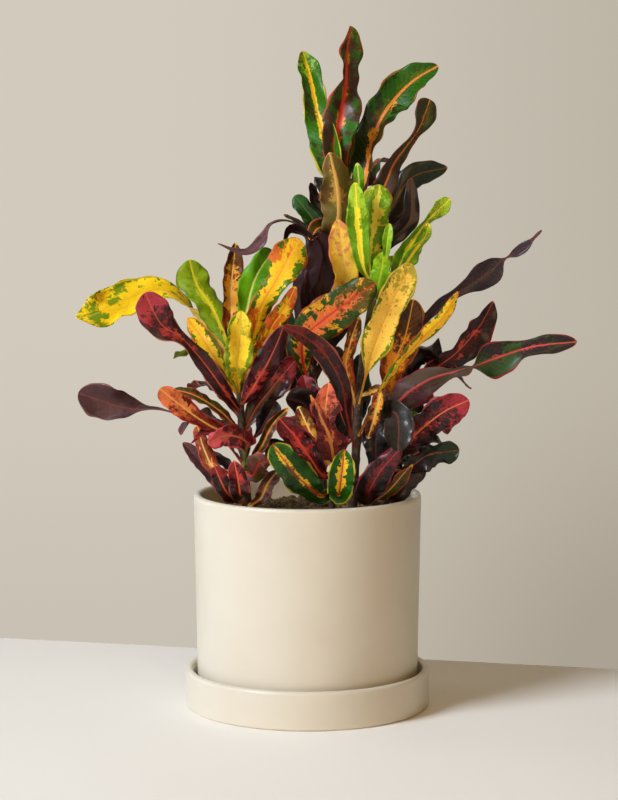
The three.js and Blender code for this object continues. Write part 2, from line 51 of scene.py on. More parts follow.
eye = placed("eye", bpy.data.cameras.new("eye"))
eye.data.lens = 109.25
eye.data.sensor_width = 36
eye.location = (0.0015, -2.4, 0.5718)
eye.rotation_euler = (math.radians(90 - 6.3057), 0, 0)
bpy.context.scene.camera = eye


# Saucer. A thrown ceramic dish under the pot, glazed the same cream, with a rounded rim and a
# flat foot. The pot only stands in it.
class Wire:
    """A shader value. Expressions on it add the Math nodes that work them out."""

    def __init__(self, tree, socket=None):
        self.tree = tree
        self.socket = socket

    def node(self, kind, out=0, sockets=None, **settings):
        """Adds a node, sets it up, then fills its sockets with values or links."""
        made = self.tree.nodes.new(kind)
        for name, value in settings.items():
            setattr(made, name, value)
        for name, value in (sockets or {}).items():
            if isinstance(value, Wire):
                self.tree.links.new(value.socket, made.inputs[name])
            else:
                made.inputs[name].default_value = value
        return Wire(self.tree, made.outputs[out])

    def math(self, operation, *values):
        return self.node("ShaderNodeMath", operation=operation, sockets=dict(enumerate(values)))

    def __add__(self, other):
        return self.math("ADD", self, other)

    def __sub__(self, other):
        return self.math("SUBTRACT", self, other)

    def __mul__(self, other):
        return self.math("MULTIPLY", self, other)

    def __truediv__(self, other):
        return self.math("DIVIDE", self, other)

    def __rsub__(self, other):
        return self.math("SUBTRACT", other, self)

    __radd__, __rmul__ = __add__, __mul__

    def rise(self, low, high):
        """0 below low, 1 above high, and a smooth step between. It falls where low is above high."""
        return self.node("ShaderNodeMapRange", interpolation_type="SMOOTHSTEP", sockets={
            "Value": self, "From Min": low, "From Max": high})

    def into(self, first, second):
        """The colour first where this value is 0 and second where it is 1."""
        return self.node("ShaderNodeMix", out=2, data_type="RGBA", sockets={0: self, 6: first, 7: second})

    def scaled(self, x, y, z):
        return self.node("ShaderNodeVectorMath", operation="MULTIPLY", sockets={0: self, 1: (x, y, z)})

    def split(self):
        """The three parts of a vector."""
        made = self.node("ShaderNodeSeparateXYZ", sockets={0: self}).socket.node
        return [Wire(self.tree, socket) for socket in made.outputs]

    def noise(self, scale, detail=3.0, roughness=0.55):
        return self.node("ShaderNodeTexNoise", sockets={
            "Vector": self, "Scale": scale, "Detail": detail, "Roughness": roughness})


def tone(red, green, blue):
    """A display colour, 0 to 255, as the linear colour that a shader takes."""
    shown = np.array([red, green, blue]) / 255
    return (*np.where(shown < 0.04045, shown / 12.92, ((shown + 0.055) / 1.055) ** 2.4), 1.0)


def finish(name, **constants):
    """A new material. Returns it, its shader, and a Wire to build on."""
    made = bpy.data.materials.new(name)
    made.use_nodes = True
    shader = made.node_tree.nodes["Principled BSDF"]
    for socket, value in constants.items():
        shader.inputs[socket.replace("_", " ")].default_value = value
    return made, shader, Wire(made.node_tree)


def feed(wire, shader, socket):
    """Links a value to one of the shader's sockets."""
    wire.tree.links.new(wire.socket, shader.inputs[socket])


def relief(height, depth, strength, shader):
    """Feeds the shader's Normal with a bump from a height, whose depth is in metres."""
    feed(height.node("ShaderNodeBump", sockets={
        "Strength": strength, "Distance": depth, "Height": height}), shader, "Normal")


def rounded(profile, radii, steps=8):
    """A profile whose corners are eased: each corner becomes a quadratic bend that starts and
    ends its radius away, and a radius of 0 keeps the corner."""
    profile = np.array(profile, float)
    eased = []
    for i, radius in enumerate(radii):
        corner = profile[i]
        if radius == 0:
            eased.append(corner[None])
            continue
        back = profile[i - 1] - corner
        on = profile[i + 1] - corner
        start = corner + back * min(0.5, radius / np.hypot(*back))
        end = corner + on * min(0.5, radius / np.hypot(*on))
        t = np.linspace(0, 1, steps)[:, None]
        eased.append((1 - t) ** 2 * start + 2 * t * (1 - t) * corner + t**2 * end)
    return np.concatenate(eased)


def rows_of(*arrays):
    """Arrays of faces as one list."""
    return [row for array in arrays for row in array.tolist()]


def around(profile, sides):
    """Points (r cos a, r sin a, z) for each (r, z) of the profile at even angles a, as a grid with a
    row for each point of the profile."""
    a = np.arange(sides) * 2 * np.pi / sides
    return np.stack([profile[:, :1] * np.cos(a), profile[:, :1] * np.sin(a),
                     np.repeat(profile[:, 1:], sides, 1)], -1).reshape(-1, 3)


def band(rows, columns, closed=False):
    """Quads between each row of a grid and the next, where the last column meets the first. Where
    closed, the last row meets the first too."""
    i, j = np.meshgrid(np.arange(rows if closed else rows - 1), np.arange(columns), indexing="ij")
    m, n = (i + 1) % rows, (j + 1) % columns
    corners = [i * columns + j, i * columns + n, m * columns + n, m * columns + j]
    return np.stack(corners, -1).reshape(-1, 4)


def fan(middle, start, columns):
    """Triangles from a middle point to the row of points that begins at start, facing up."""
    k = np.arange(columns)
    return np.stack([np.full(columns, middle), start + k, start + (k + 1) % columns], -1)


def lathe(profile, sides=192):
    """The profile turned about the axis, from a single point on the axis to another. A fan closes
    it at each of the two."""
    rows = len(profile) - 2
    ring = around(profile[1:-1], sides)
    poles = [[0, 0, profile[0, 1]], [0, 0, profile[-1, 1]]]
    low = fan(len(ring), 0, sides)[:, [0, 2, 1]]
    high = fan(len(ring) + 1, (rows - 1) * sides, sides)
    return np.concatenate([ring, poles]), rows_of(band(rows, sides), low, high)


def solid(name, points, rows, material, attributes=None, smooth=True):
    """A piece from points in millimetres and rows of faces, with its attributes by point."""
    mesh = bpy.data.meshes.new(name)
    mesh.from_pydata((points / 1000).tolist(), [], rows)
    mesh.polygons.foreach_set("use_smooth", np.full(len(rows), smooth))
    for label, values in (attributes or {}).items():
        kind, key = ("FLOAT_COLOR", "color") if values.shape[1] == 4 else ("FLOAT_VECTOR", "vector")
        layer = mesh.attributes.new(label, kind, "POINT")
        layer.data.foreach_set(key, values.astype(np.float32).ravel())
    mesh.materials.append(material)
    mesh.update()
    made = placed(name, mesh)
    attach(made, "root")
    return made


saucer_radius, saucer_foot, saucer_top = 122.4, 122.0, 38.3
saucer_inner, saucer_floor = 114.8, 8.0
cream, cream_shader, wire = finish("cream_glaze", Roughness=0.42, Coat_Weight=0.18, Coat_Roughness=0.3)
spot = wire.node("ShaderNodeTexCoord", out=3)
cloud = spot.noise(9, 4)
grain = spot.noise(420, 2)
glaze = cloud.rise(0.35, 0.7).into(tone(223, 214, 196), tone(219, 209, 190))
feed(glaze, cream_shader, "Base Color")
feed(cloud * 0.1 + 0.36 + grain * 0.04, cream_shader, "Roughness")
relief(grain * 0.5 + spot.noise(60, 3), 0.0006, 0.12, cream_shader)
points, faces = lathe(rounded(
    [[0, 0], [saucer_foot, 0], [saucer_radius, saucer_top], [saucer_inner, saucer_top],
     [saucer_inner - 0.6, saucer_floor], [0, saucer_floor]],
    [0, 3.0, 4.6, 4.6, 6.0, 0]))
saucer = solid("glazed_saucer", points, faces, cream)
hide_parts("saucer")


# Pot. A plain thrown cylinder, a little narrower at its foot, of the same glazed ceramic. It
# stands in the saucer on a foot ring, and its floor has a drain hole in the middle.
pot_rim, pot_foot, pot_top, pot_wall = 113.5, 110.0, 213.8, 7.5
pot_low = saucer_floor
pot_inside = pot_low + 11
drain = 7.0
outline = rounded(
    [[drain, pot_inside], [drain, pot_low + 3], [pot_foot - 11, pot_low + 3], [pot_foot - 9, pot_low],
     [pot_foot, pot_low], [pot_rim, pot_top], [pot_rim - pot_wall, pot_top],
     [pot_foot - pot_wall, pot_inside], [drain, pot_inside]],
    [0, 0.8, 0.8, 0.8, 2.6, 4.8, 4.8, 6.0, 0])
points = around(outline[:-1], 192)
pot = solid("glazed_pot", points, rows_of(band(len(outline) - 1, 192, closed=True)), cream)
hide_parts("pot")
# Its inner wall, from just under the soil to the rim, is painted paler and warmer: painted light that stands
# in for the light on the inside of the pot.
lip = (pot_rim - pot_wall + 1) / 1000
radius = spot.node("ShaderNodeVectorMath", out=1, operation="LENGTH", sockets={0: spot.scaled(1, 1, 0)})
_, _, height = spot.split()
inner_painted_light = radius.rise(lip + 0.0015, lip) * height.rise(0.17, 0.18)
feed(inner_painted_light.into(glaze, tone(250, 228, 190)), cream_shader, "Base Color")


# Soil. A dark, coarse peat mix that fills the pot to 2 cm below its rim, with loose crumbs and a
# few pale grains on top. It follows the pot's inner wall, and holds the stems.
soil_radius, soil_top, soil_dip = 105.3, 195.0, 3.6
soil_low = pot_inside + 0.3
soil_rows, sides = 60, 192


def lumps(x, y):
    """The soil's relief in millimetres: sums of slow and quick waves that never line up."""
    return (1.3 * np.sin(x / 13 + 1.3 * np.sin(y / 17)) * np.cos(y / 11 + 0.7)
            + 0.6 * np.sin(x / 4.3 + 2 * np.sin(y / 5.1)) + 0.4 * np.cos(y / 2.9 + x / 3.7))


share = np.linspace(0, 1, soil_rows)[:, None]
angle = np.arange(sides) * 2 * np.pi / sides
top_radius = soil_radius * np.sqrt(share)
x, y = top_radius * np.cos(angle), top_radius * np.sin(angle)
level = soil_top - soil_dip * share**2 + lumps(x, y) * (1 - share**12)
top = np.stack([x, y, level], -1)[1:].reshape(-1, 3)
wall = around(np.array([[105.4, 188.0], [101.9, pot_inside + 4.5], [98.0, soil_low]]), sides)
rings = np.concatenate([top, wall])
points = np.concatenate([rings, [[0, 0, soil_top + float(lumps(0, 0))], [0, 0, soil_low]]])
mantle = band(soil_rows + 2, sides)[:, [0, 3, 2, 1]]
cap = fan(len(rings), 0, sides)
base = fan(len(rings) + 1, (soil_rows + 1) * sides, sides)[:, [0, 2, 1]]
peat, peat_shader, wire = finish("peat_mix", Roughness=0.95)
spot = wire.node("ShaderNodeTexCoord", out=3)
clod = spot.noise(260, 5, 0.7)
fleck = spot.noise(700, 2)
dark = clod.rise(0.35, 0.65).into(tone(80, 63, 36), tone(146, 118, 72))
feed(fleck.rise(0.68, 0.74).into(dark, tone(150, 128, 98)), peat_shader, "Base Color")
relief(clod, 0.002, 0.9, peat_shader)
soil = solid("peat_soil_bed", points, rows_of(mantle, cap, base), peat)
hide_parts("soil")

# The crumbs are lumps with twenty faces, 0.7 to 3 mm in radius, strewn evenly and squashed at random.
crumb_count = 2600
draw = np.random.default_rng(11)
golden = (1 + 5**0.5) / 2
corners = np.array([[-1, golden, 0], [1, golden, 0], [-1, -golden, 0], [1, -golden, 0],
                    [0, -1, golden], [0, 1, golden], [0, -1, -golden], [0, 1, -golden],
                    [golden, 0, -1], [golden, 0, 1], [-golden, 0, -1], [-golden, 0, 1]]) / 1.9
facets = np.array([[0, 11, 5], [0, 5, 1], [0, 1, 7], [0, 7, 10], [0, 10, 11], [1, 5, 9], [5, 11, 4],
                   [11, 10, 2], [10, 7, 6], [7, 1, 8], [3, 9, 4], [3, 4, 2], [3, 2, 6], [3, 6, 8],
                   [3, 8, 9], [4, 9, 5], [2, 4, 11], [6, 2, 10], [8, 6, 7], [9, 8, 1]])
spread = 103 * np.sqrt(draw.random(crumb_count))
turn = draw.random(crumb_count) * 2 * np.pi
size = 0.7 + 2.3 * draw.random(crumb_count) ** 3
cx, cy = spread * np.cos(turn), spread * np.sin(turn)
cz = soil_top - soil_dip * (spread / soil_radius) ** 4 + lumps(cx, cy) + size * 0.25
shape = corners * (0.7 + 0.6 * draw.random((crumb_count, 12, 1))) * size[:, None, None]
shape *= 0.6 + 0.8 * draw.random((crumb_count, 1, 3))
points = (shape + np.stack([cx, cy, cz], -1)[:, None]).reshape(-1, 3)
faces = (facets[None] + 12 * np.arange(crumb_count)[:, None, None]).reshape(-1, 3)
crumbs = solid("peat_crumbs", points, rows_of(faces), peat, smooth=False)


# Left shoot. The first of six woody stems, each rooted in the soil, with long petioles and thick,
# waxy, twisted leaves in a whorl round its top. This one's leaves are yellow above and dark red
# below. The rules for every stem and leaf are set out here too.
EYE_DISTANCE, EYE_HEIGHT = 2400.0, 572.0


def sighted(points):
    """Points given as [across, up, deep]: where an eye in front of the plant sees them on the
    plane y = 0, and their own y. Returns them in place."""
    across, up, deep = np.array(points, float).T
    near = 1 + deep / EYE_DISTANCE
    return np.stack([across * near, deep, EYE_HEIGHT + (up - EYE_HEIGHT) * near], -1)


def spline(points, u, bend=0.5):
    """A smooth cubic curve through the points, at each u from 0 to 1. Its slope at a point comes
    from the neighbours on both sides, weighed by the gaps to them raised to the power bend."""
    p = np.array(points, float)
    p = np.concatenate([2 * p[:1] - p[1:2], p, 2 * p[-1:] - p[-2:-1]])
    x = np.clip(u, 0, 1) * (len(p) - 3)
    i = np.minimum(x.astype(int), len(p) - 4)
    f = (x - i)[:, None]
    gap = np.linalg.norm(np.diff(p, axis=0), axis=1)[:, None] ** bend
    a, b, c, d = p[i], p[i + 1], p[i + 2], p[i + 3]
    ga, gb, gc = gap[i], gap[i + 1], gap[i + 2]
    leave = ((b - a) / ga - (c - a) / (ga + gb) + (c - b) / gb) * gb
    reach = ((c - b) / gb - (d - b) / (gb + gc) + (d - c) / gc) * gb
    return ((2 * b - 2 * c + leave + reach) * f**3 + (3 * c - 3 * b - 2 * leave - reach) * f**2
            + leave * f + b)


def evenly(points, s):
    """The curve through the points at shares s of its length, and that length."""
    u = np.linspace(0, 1, 301)
    run = np.linalg.norm(np.diff(spline(points, u), axis=0), axis=1)
    run = np.concatenate([[0], np.cumsum(run)])
    return spline(points, np.interp(s * run[-1], run, u)), run[-1]


def unit(v):
    """The vectors, each divided by its length."""
    return v / np.linalg.norm(v, axis=-1, keepdims=True)


# Outlines of a blade: its width at even steps from the root to the tip, as shares of the widest.
OUTLINES = {
    "oar": [0.08, 0.14, 0.32, 0.58, 0.82, 0.97, 1, 0.95, 0.8],
    "lance": [0.08, 0.22, 0.5, 0.78, 0.95, 1, 0.92, 0.75, 0.5],
    "strap": [0.08, 0.3, 0.62, 0.85, 0.97, 1, 0.95, 0.82, 0.6],
    "spoon": [0.07, 0.08, 0.12, 0.3, 0.65, 0.93, 1, 0.97, 0.8],
}
LEAF_ROWS, LEAF_COLUMNS = 60, 17
BLADE_THICKNESS, STALK_THICKNESS = 0.7, 2.0


def leaf(points, outline, width, turns, reference, phase, number, own_fold=()):
    """One blade, as a loop of columns carried along its midrib: the upper face from margin to
    margin and the lower face back. The share x across it runs from -1 to 1 and s from root to
    tip. The margins fold and roll up or back from the midrib and wave, the width wavers, the edge
    crimps and the tip curls, each by an amount that goes with the leaf's phase. The rib is a groove
    above and a ridge below, and the faces draw together at the margins, so that a narrow petiole
    comes out round.
    Returns points and, for each, (across, along, leaf number) and (half width, s, side)."""
    s = 1 - (1 - np.linspace(0, 1, LEAF_ROWS)) ** 1.3
    centre, length = evenly(points, s)
    along = unit(np.gradient(centre, s, axis=0))
    facing = unit(reference - (along @ reference)[:, None] * along)
    turn = np.radians(np.interp(s, np.linspace(0, 1, len(turns)), turns))[:, None]
    facing = np.cos(turn) * facing + np.sin(turn) * np.cross(along, facing)
    side = np.cross(along, facing)
    shares = np.array(OUTLINES[outline] if isinstance(outline, str) else outline)[:, None]
    tip = np.sqrt(np.clip(1 - np.clip((s - 0.88) / 0.12, 0, 1) ** 2, 0, 1))
    half = np.maximum(spline(shares, s, 0)[:, 0] * tip * width / 2, 1)[:, None]
    u = np.linspace(-1, 1, LEAF_COLUMNS)
    x = np.sign(u) * np.abs(u) ** 1.3
    s = s[:, None]
    slim = np.clip(1 - half / 4, 0, 1)
    waver = 0.09 * np.sin(2 * np.pi * (2.6 * s + 0.37 * phase + 0.45 * x))
    waver = waver + 0.035 * np.sin(2 * np.pi * (9.7 * s + 0.4 * phase + 0.2 * np.sign(x)))
    across = half * x * (1 + waver * (1 - slim))
    fold = own_fold[0] if own_fold else 0.18 - 0.3 * math.sin(1.7 * phase + 0.6)
    wave = 0.26 + 0.16 * math.sin(2.3 * phase)
    roll = 0.22 * math.sin(2.9 * phase + 1)
    lift = fold * np.sqrt(x**2 + 0.03) + roll * x**4
    lift = lift + wave * x**2 * np.sin(2 * np.pi * (2.2 * s + 0.13 * phase + 0.27 * x))
    crimp = 0.12 * np.abs(x) ** 3 * np.sin(2 * np.pi * (6.7 * s + 0.37 * phase + 0.31 * np.sign(x)))
    curl = 8 * math.sin(3.1 * phase) * np.clip((s - 0.75) / 0.25, 0, 1) ** 2
    body = half * (lift + crimp) + curl
    thick = BLADE_THICKNESS + (STALK_THICKNESS - BLADE_THICKNESS) * slim * (1 - s)
    thick = thick / 2 * np.sqrt(1 - 0.94 * x**2)
    blade = 1 - slim
    groove = 0.45 * blade * (1 - 0.6 * s) * np.exp(-(across / 1.1) ** 2)
    ridge = 1.1 * blade * (1 - 0.75 * s) * np.exp(-(across / 1.5) ** 2)
    faces = [body + thick - groove, (body - thick - ridge)[:, ::-1]]
    height = np.concatenate(faces, 1)
    across = np.concatenate([across, across[:, ::-1]], 1)
    loop = (centre[:, None] + side[:, None] * across[..., None] + facing[:, None] * height[..., None])
    width_of = np.repeat(half, across.shape[1], 1)
    along_of = np.repeat(s, across.shape[1], 1)
    under = np.repeat(np.repeat([[0.0, 1.0]], LEAF_COLUMNS, 1), LEAF_ROWS, 0)
    place = np.stack([across, along_of * length, np.full_like(across, number)], -1)
    lay = np.stack([width_of, along_of, under], -1)
    return loop.reshape(-1, 3), place.reshape(-1, 3), lay.reshape(-1, 3)


def leaf_faces():
    """Quads of one blade: between its loops, and across its two ends."""
    count = 2 * LEAF_COLUMNS
    k = np.arange(LEAF_COLUMNS - 1)
    root = np.stack([k, count - 1 - k, count - 2 - k, k + 1], -1)
    return np.concatenate([band(LEAF_ROWS, count), root, root[:, ::-1] + (LEAF_ROWS - 1) * count])


STEM_ROWS, STEM_COLUMNS = 90, 24
SCAR_GAP = 17.0


def stem_tube(path, radius):
    """A woody stem: rings along its path, thinner toward the crown, with a swelling under each
    leaf scar and fine ridges of bark. It goes 25 mm down into the soil."""
    points = sighted(path)
    points = np.concatenate([[points[0] - [0, 0, 25]], points])
    s = np.linspace(0, 1, STEM_ROWS)
    centre, length = evenly(points, s)
    along = unit(np.gradient(centre, s, axis=0))
    side = unit(np.cross(along, [0, 1, 0]))
    other = np.cross(along, side)
    angle = np.arange(STEM_COLUMNS) * 2 * np.pi / STEM_COLUMNS
    run = (s * length)[:, None]
    scars = np.exp(-((run % SCAR_GAP - 8) / 2.2) ** 2) * (0.6 + 0.4 * np.sin(angle + run / SCAR_GAP * 2.4))
    bark = 0.12 * np.sin(7 * angle + 0.4 * np.sin(run / 9)) + 0.1 * np.sin(run / 2.3 + 3 * np.sin(angle))
    r = radius * (1.02 - 0.22 * s[:, None]) + 0.55 * scars + bark
    r *= np.sqrt(np.clip(1 - np.clip((s - 0.97) / 0.03, 0, 1) ** 2, 0.003, 1))[:, None]
    ring = centre[:, None] + r[..., None] * (side[:, None] * np.cos(angle)[:, None]
                                             + other[:, None] * np.sin(angle)[:, None])
    place = np.stack(np.broadcast_arrays(angle, run, length - run), -1)
    low = np.arange(STEM_COLUMNS)[None, ::-1]
    high = low[:, ::-1] + (STEM_ROWS - 1) * STEM_COLUMNS
    return ring.reshape(-1, 3), place.reshape(-1, 3), rows_of(band(STEM_ROWS, STEM_COLUMNS), low, high)


# Colours of a leaf, each with a number from 0 to 1: the field and how far out from the rib the
# core reaches over it; the core and how ragged its edge is; the rib and its half width in
# centimetres; the margin and its width in centimetres, where the pale margins of the dark leaves
# are partly painted light, the bright rim of light along the thin edge; the blotches and how many
# there are; the underside and how many specks there are; and the tip and how far down its colour
# runs.
COATS = {
    "sulphur": [(84, 136, 10, 0.96), (255, 214, 24, 0.6), (232, 176, 24, 0.06), (214, 172, 24, 0.05),
        (96, 134, 14, 0.16), (232, 196, 118, 0.35), (92, 142, 12, 0.04)],
    "olive": [(120, 148, 5, 0.22), (182, 188, 20, 0.3), (226, 210, 52, 0.2), (96, 116, 4, 0.03),
        (92, 124, 2, 0.2), (112, 120, 24, 0), (134, 160, 14, 0.25)],
    "amber": [(60, 56, 2, 0.62), (250, 158, 28, 0.8), (252, 206, 112, 0.13), (134, 46, 16, 0.06),
        (150, 44, 18, 0.35), (150, 90, 30, 0.3), (66, 20, 14, 0.25)],
    "green": [(108, 172, 8, 0), (146, 188, 22, 0.1), (226, 230, 112, 0.14), (112, 164, 16, 0.03),
        (82, 148, 4, 0.3), (98, 136, 30, 0), (98, 164, 14, 0.3)],
    "harlequin": [(66, 118, 4, 0.62), (252, 206, 20, 0.7), (236, 150, 36, 0.08), (214, 84, 36, 0.05),
        (226, 96, 30, 0.06), (170, 140, 50, 0.5), (232, 160, 40, 0)],
    "flame": [(74, 110, 6, 0.66), (252, 196, 20, 0.7), (248, 180, 40, 0.08), (180, 60, 22, 0.08),
        (210, 78, 28, 0.24), (190, 110, 46, 0.5), (206, 92, 40, 0.2)],
    "tangerine": [(150, 50, 26, 0.56), (250, 172, 88, 0.6), (252, 194, 114, 0.1), (180, 62, 46, 0.08),
        (126, 40, 28, 0.35), (190, 110, 50, 0.4), (206, 92, 52, 0.2)],
    "coral": [(96, 22, 22, 0.5), (240, 136, 66, 1), (250, 184, 90, 0.1), (206, 52, 36, 0.08),
        (128, 28, 26, 0.6), (176, 98, 66, 0.4), (236, 122, 66, 0.3)],
    "canary": [(110, 138, 10, 0.7), (255, 216, 44, 0.35), (224, 178, 36, 0.07), (178, 150, 26, 0.05),
        (150, 158, 26, 0.15), (190, 160, 50, 0.3), (242, 214, 66, 0.1)],
    "apricot": [(255, 206, 50, 0.85), (255, 210, 64, 0.4), (255, 208, 96, 0.08), (236, 120, 70, 0.08),
        (238, 158, 76, 0.08), (204, 140, 50, 0.4), (226, 132, 84, 0.16)],
    "ochre": [(102, 128, 10, 0.8), (255, 206, 78, 0.35), (230, 164, 50, 0.06), (226, 180, 54, 0.04),
        (104, 50, 18, 0), (214, 170, 76, 0.9), (160, 146, 34, 0.16)],
    "garnet": [(54, 16, 22, 0.52), (170, 46, 52, 1), (200, 92, 66, 0.07), (190, 106, 84, 0.045),
        (36, 12, 18, 0.5), (118, 50, 42, 0.5), (158, 42, 52, 0.2)],
    "maroon": [(56, 15, 18, 0.22), (112, 32, 30, 0.7), (146, 60, 46, 0.08), (186, 100, 78, 0.045),
        (30, 14, 12, 0.38), (90, 34, 32, 0.3), (112, 40, 38, 0.2)],
    "plum": [(92, 62, 62, 0.1), (106, 60, 60, 0.3), (132, 66, 64, 0.06), (150, 100, 94, 0.035),
        (72, 46, 50, 0.35), (124, 102, 102, 0.1), (86, 52, 54, 0.2)],
    "bronze": [(58, 40, 14, 0.3), (118, 50, 34, 0.5), (246, 152, 66, 0.1), (192, 70, 46, 0.08),
        (58, 70, 10, 0.45), (120, 84, 56, 0.3), (74, 66, 16, 0.25)],
    "dusk": [(112, 80, 80, 0.3), (150, 96, 76, 0.4), (242, 192, 108, 0.13), (150, 84, 80, 0.05),
        (76, 48, 54, 0.35), (120, 84, 76, 0.2), (122, 86, 66, 0.1)],
    "ruby": [(34, 8, 12, 0.46), (186, 40, 48, 0.9), (226, 112, 72, 0.1), (150, 60, 56, 0.05),
        (18, 9, 10, 0.62), (110, 28, 34, 0.5), (156, 38, 48, 0.25)],
    "night": [(24, 7, 11, 0.05), (50, 12, 18, 0.4), (84, 28, 28, 0.06), (88, 44, 42, 0.03),
        (10, 13, 9, 0.3), (54, 20, 25, 0.2), (32, 10, 13, 0.2)],
    "rose": [(110, 26, 38, 0.6), (216, 84, 86, 0.7), (234, 132, 98, 0.12), (188, 60, 68, 0.1),
        (72, 28, 38, 0.35), (160, 96, 94, 0.4), (216, 84, 94, 0.25)],
    "moss": [(70, 80, 10, 0.3), (142, 110, 26, 0.5), (192, 60, 42, 0.12), (160, 80, 58, 0.06),
        (110, 50, 58, 0.3), (104, 96, 40, 0.2), (150, 80, 86, 0.2)],
    "jade": [(48, 110, 14, 0.18), (252, 214, 24, 0.15), (240, 150, 40, 0.06), (222, 206, 60, 0.05),
        (50, 40, 24, 0.04), (100, 112, 34, 0.05), (140, 176, 28, 0.1)],
    "crimsonjade": [(20, 72, 5, 0.2), (244, 200, 46, 0.2), (188, 36, 44, 0.08), (208, 178, 60, 0.04),
        (10, 48, 6, 0.3), (100, 112, 40, 0.1), (40, 98, 12, 0.1)],
    "jadered": [(40, 100, 8, 0.26), (240, 150, 40, 0.25), (224, 74, 58, 0.32), (206, 60, 54, 0.06),
        (70, 30, 34, 0.44), (110, 80, 52, 0.1), (120, 132, 20, 0.1)],
    "jadeorange": [(16, 46, 5, 0.28), (240, 176, 20, 0.3), (238, 138, 54, 0.22), (152, 90, 26, 0.04),
        (28, 26, 10, 0.32), (98, 42, 48, 0.05), (34, 96, 8, 0.42)],
    "black": [(12, 32, 9, 0.05), (120, 80, 26, 0.15), (150, 82, 40, 0.05), (70, 46, 20, 0.03),
        (28, 10, 14, 0.4), (50, 34, 32, 0.1), (16, 44, 12, 0.2)],
    "jadedark": [(28, 60, 6, 0.2), (150, 90, 36, 0.3), (212, 124, 50, 0.1), (150, 50, 44, 0.07),
        (58, 32, 24, 0.5), (84, 52, 48, 0.1), (48, 58, 12, 0.2)],
    "slate": [(50, 46, 38, 0.1), (64, 48, 44, 0.3), (124, 66, 58, 0.07), (84, 46, 46, 0.04),
        (34, 32, 26, 0.4), (70, 62, 58, 0.1), (44, 40, 32, 0.2)],
    "umber": [(112, 62, 34, 0.34), (236, 176, 66, 0.4), (255, 196, 104, 0.3), (232, 150, 90, 0.06),
        (100, 96, 20, 0.5), (104, 92, 40, 0.1), (104, 56, 40, 0.15)],
    "harlequinred": [(32, 68, 6, 0.38), (236, 122, 52, 0.6), (212, 52, 44, 0.13), (152, 60, 26, 0.05),
        (250, 182, 46, 0.15), (120, 90, 46, 0.4), (62, 68, 10, 0.2)],
    "limestripe": [(102, 152, 6, 0.28), (255, 232, 36, 0.12), (255, 234, 64, 0.12), (140, 172, 16, 0.03),
        (84, 140, 4, 0.05), (140, 162, 26, 0), (170, 204, 44, 0.25)],
    "limespot": [(100, 150, 10, 0.18), (238, 226, 58, 0.25), (246, 224, 76, 0.14), (226, 156, 50, 0.05),
        (236, 214, 54, 0.1), (120, 152, 28, 0.6), (130, 168, 24, 0.12)],
    "lime": [(118, 172, 10, 0.1), (150, 192, 20, 0.2), (190, 208, 46, 0.07), (124, 170, 16, 0.03),
        (90, 146, 8, 0.2), (140, 170, 36, 0), (156, 196, 28, 0.3)],
    "ember": [(176, 84, 16, 0.6), (240, 134, 14, 0.6), (244, 164, 40, 0.08), (206, 110, 22, 0.09),
        (122, 40, 20, 0.15), (96, 42, 28, 0.3), (18, 9, 8, 0.46)],
    "scarlet": [(26, 8, 10, 0.48), (208, 46, 46, 0.8), (226, 82, 62, 0.1), (178, 48, 50, 0.08),
        (15, 7, 8, 0.4), (96, 24, 30, 0.4), (96, 22, 30, 0.3)],
    "scarletgreen": [(38, 28, 28, 0.14), (196, 74, 70, 0.5), (218, 88, 82, 0.13), (160, 44, 50, 0.05),
        (42, 80, 32, 0.46), (102, 52, 60, 0.1), (36, 26, 30, 0.25)],
    "rubydark": [(20, 9, 10, 0.3), (86, 18, 26, 0.6), (168, 70, 60, 0.07), (150, 50, 52, 0.06),
        (14, 7, 9, 0.35), (76, 26, 32, 0.3), (104, 26, 36, 0.2)],
    "salmon": [(62, 26, 20, 0.52), (238, 118, 76, 0.6), (246, 158, 82, 0.13), (176, 40, 54, 0.06),
        (112, 30, 42, 0.5), (146, 74, 56, 0.3), (230, 110, 76, 0.25)],
    "jadeyellow": [(22, 84, 5, 0.24), (248, 206, 34, 0.5), (200, 42, 42, 0.1), (216, 192, 46, 0.08),
        (28, 94, 8, 0.2), (96, 106, 40, 0.2), (60, 112, 16, 0.1)],
    "crimson": [(64, 18, 26, 0.55), (200, 58, 60, 0.8), (226, 100, 80, 0.11), (200, 104, 84, 0.05),
        (38, 14, 20, 0.5), (130, 60, 50, 0.4), (60, 20, 28, 0.4)],
    "scarletblack": [(32, 20, 28, 0.5), (208, 72, 66, 0.8), (222, 92, 72, 0.09), (170, 40, 46, 0.05),
        (24, 16, 20, 0.5), (96, 24, 30, 0.4), (38, 28, 34, 0.25)],
    "plumdark": [(62, 44, 50, 0.1), (74, 48, 52, 0.3), (104, 60, 62, 0.05), (92, 54, 58, 0.03),
        (50, 38, 44, 0.4), (88, 68, 72, 0.1), (56, 40, 48, 0.2)],
    "bottlegreen": [(22, 62, 10, 0.05), (60, 90, 20, 0.1), (84, 112, 30, 0.05), (60, 84, 24, 0.03),
        (12, 36, 10, 0.3), (60, 80, 40, 0.1), (30, 80, 14, 0.2)],
}
COAT_LAYERS = ["field", "core", "rib", "margin", "blotch", "under", "tip"]

# Bark is brown with pale flecks, and green near the stem's end.
bark, bark_shader, wire = finish("bark", Roughness=0.78)
spot = wire.node("ShaderNodeAttribute", out=1, attribute_name="place")
_, run, left_over = spot.split()
inside = wire.node("ShaderNodeTexCoord", out=3)
mottle = inside.noise(160, 4)
fleck = inside.scaled(1, 1, 0.5).noise(420, 2)
brown = mottle.rise(0.38, 0.66).into(tone(44, 30, 22), tone(88, 66, 46))
brown = fleck.rise(0.64, 0.72).into(brown, tone(150, 130, 100))
green = mottle.rise(0.35, 0.7).into(tone(96, 104, 44), tone(132, 128, 62))
feed(left_over.rise(46, 12).into(brown, green), bark_shader, "Base Color")
relief(mottle + fleck * 0.5, 0.0008, 0.7, bark_shader)

blade, blade_shader, wire = finish("croton_blade", Specular_IOR_Level=0.2, Coat_Roughness=0.16)


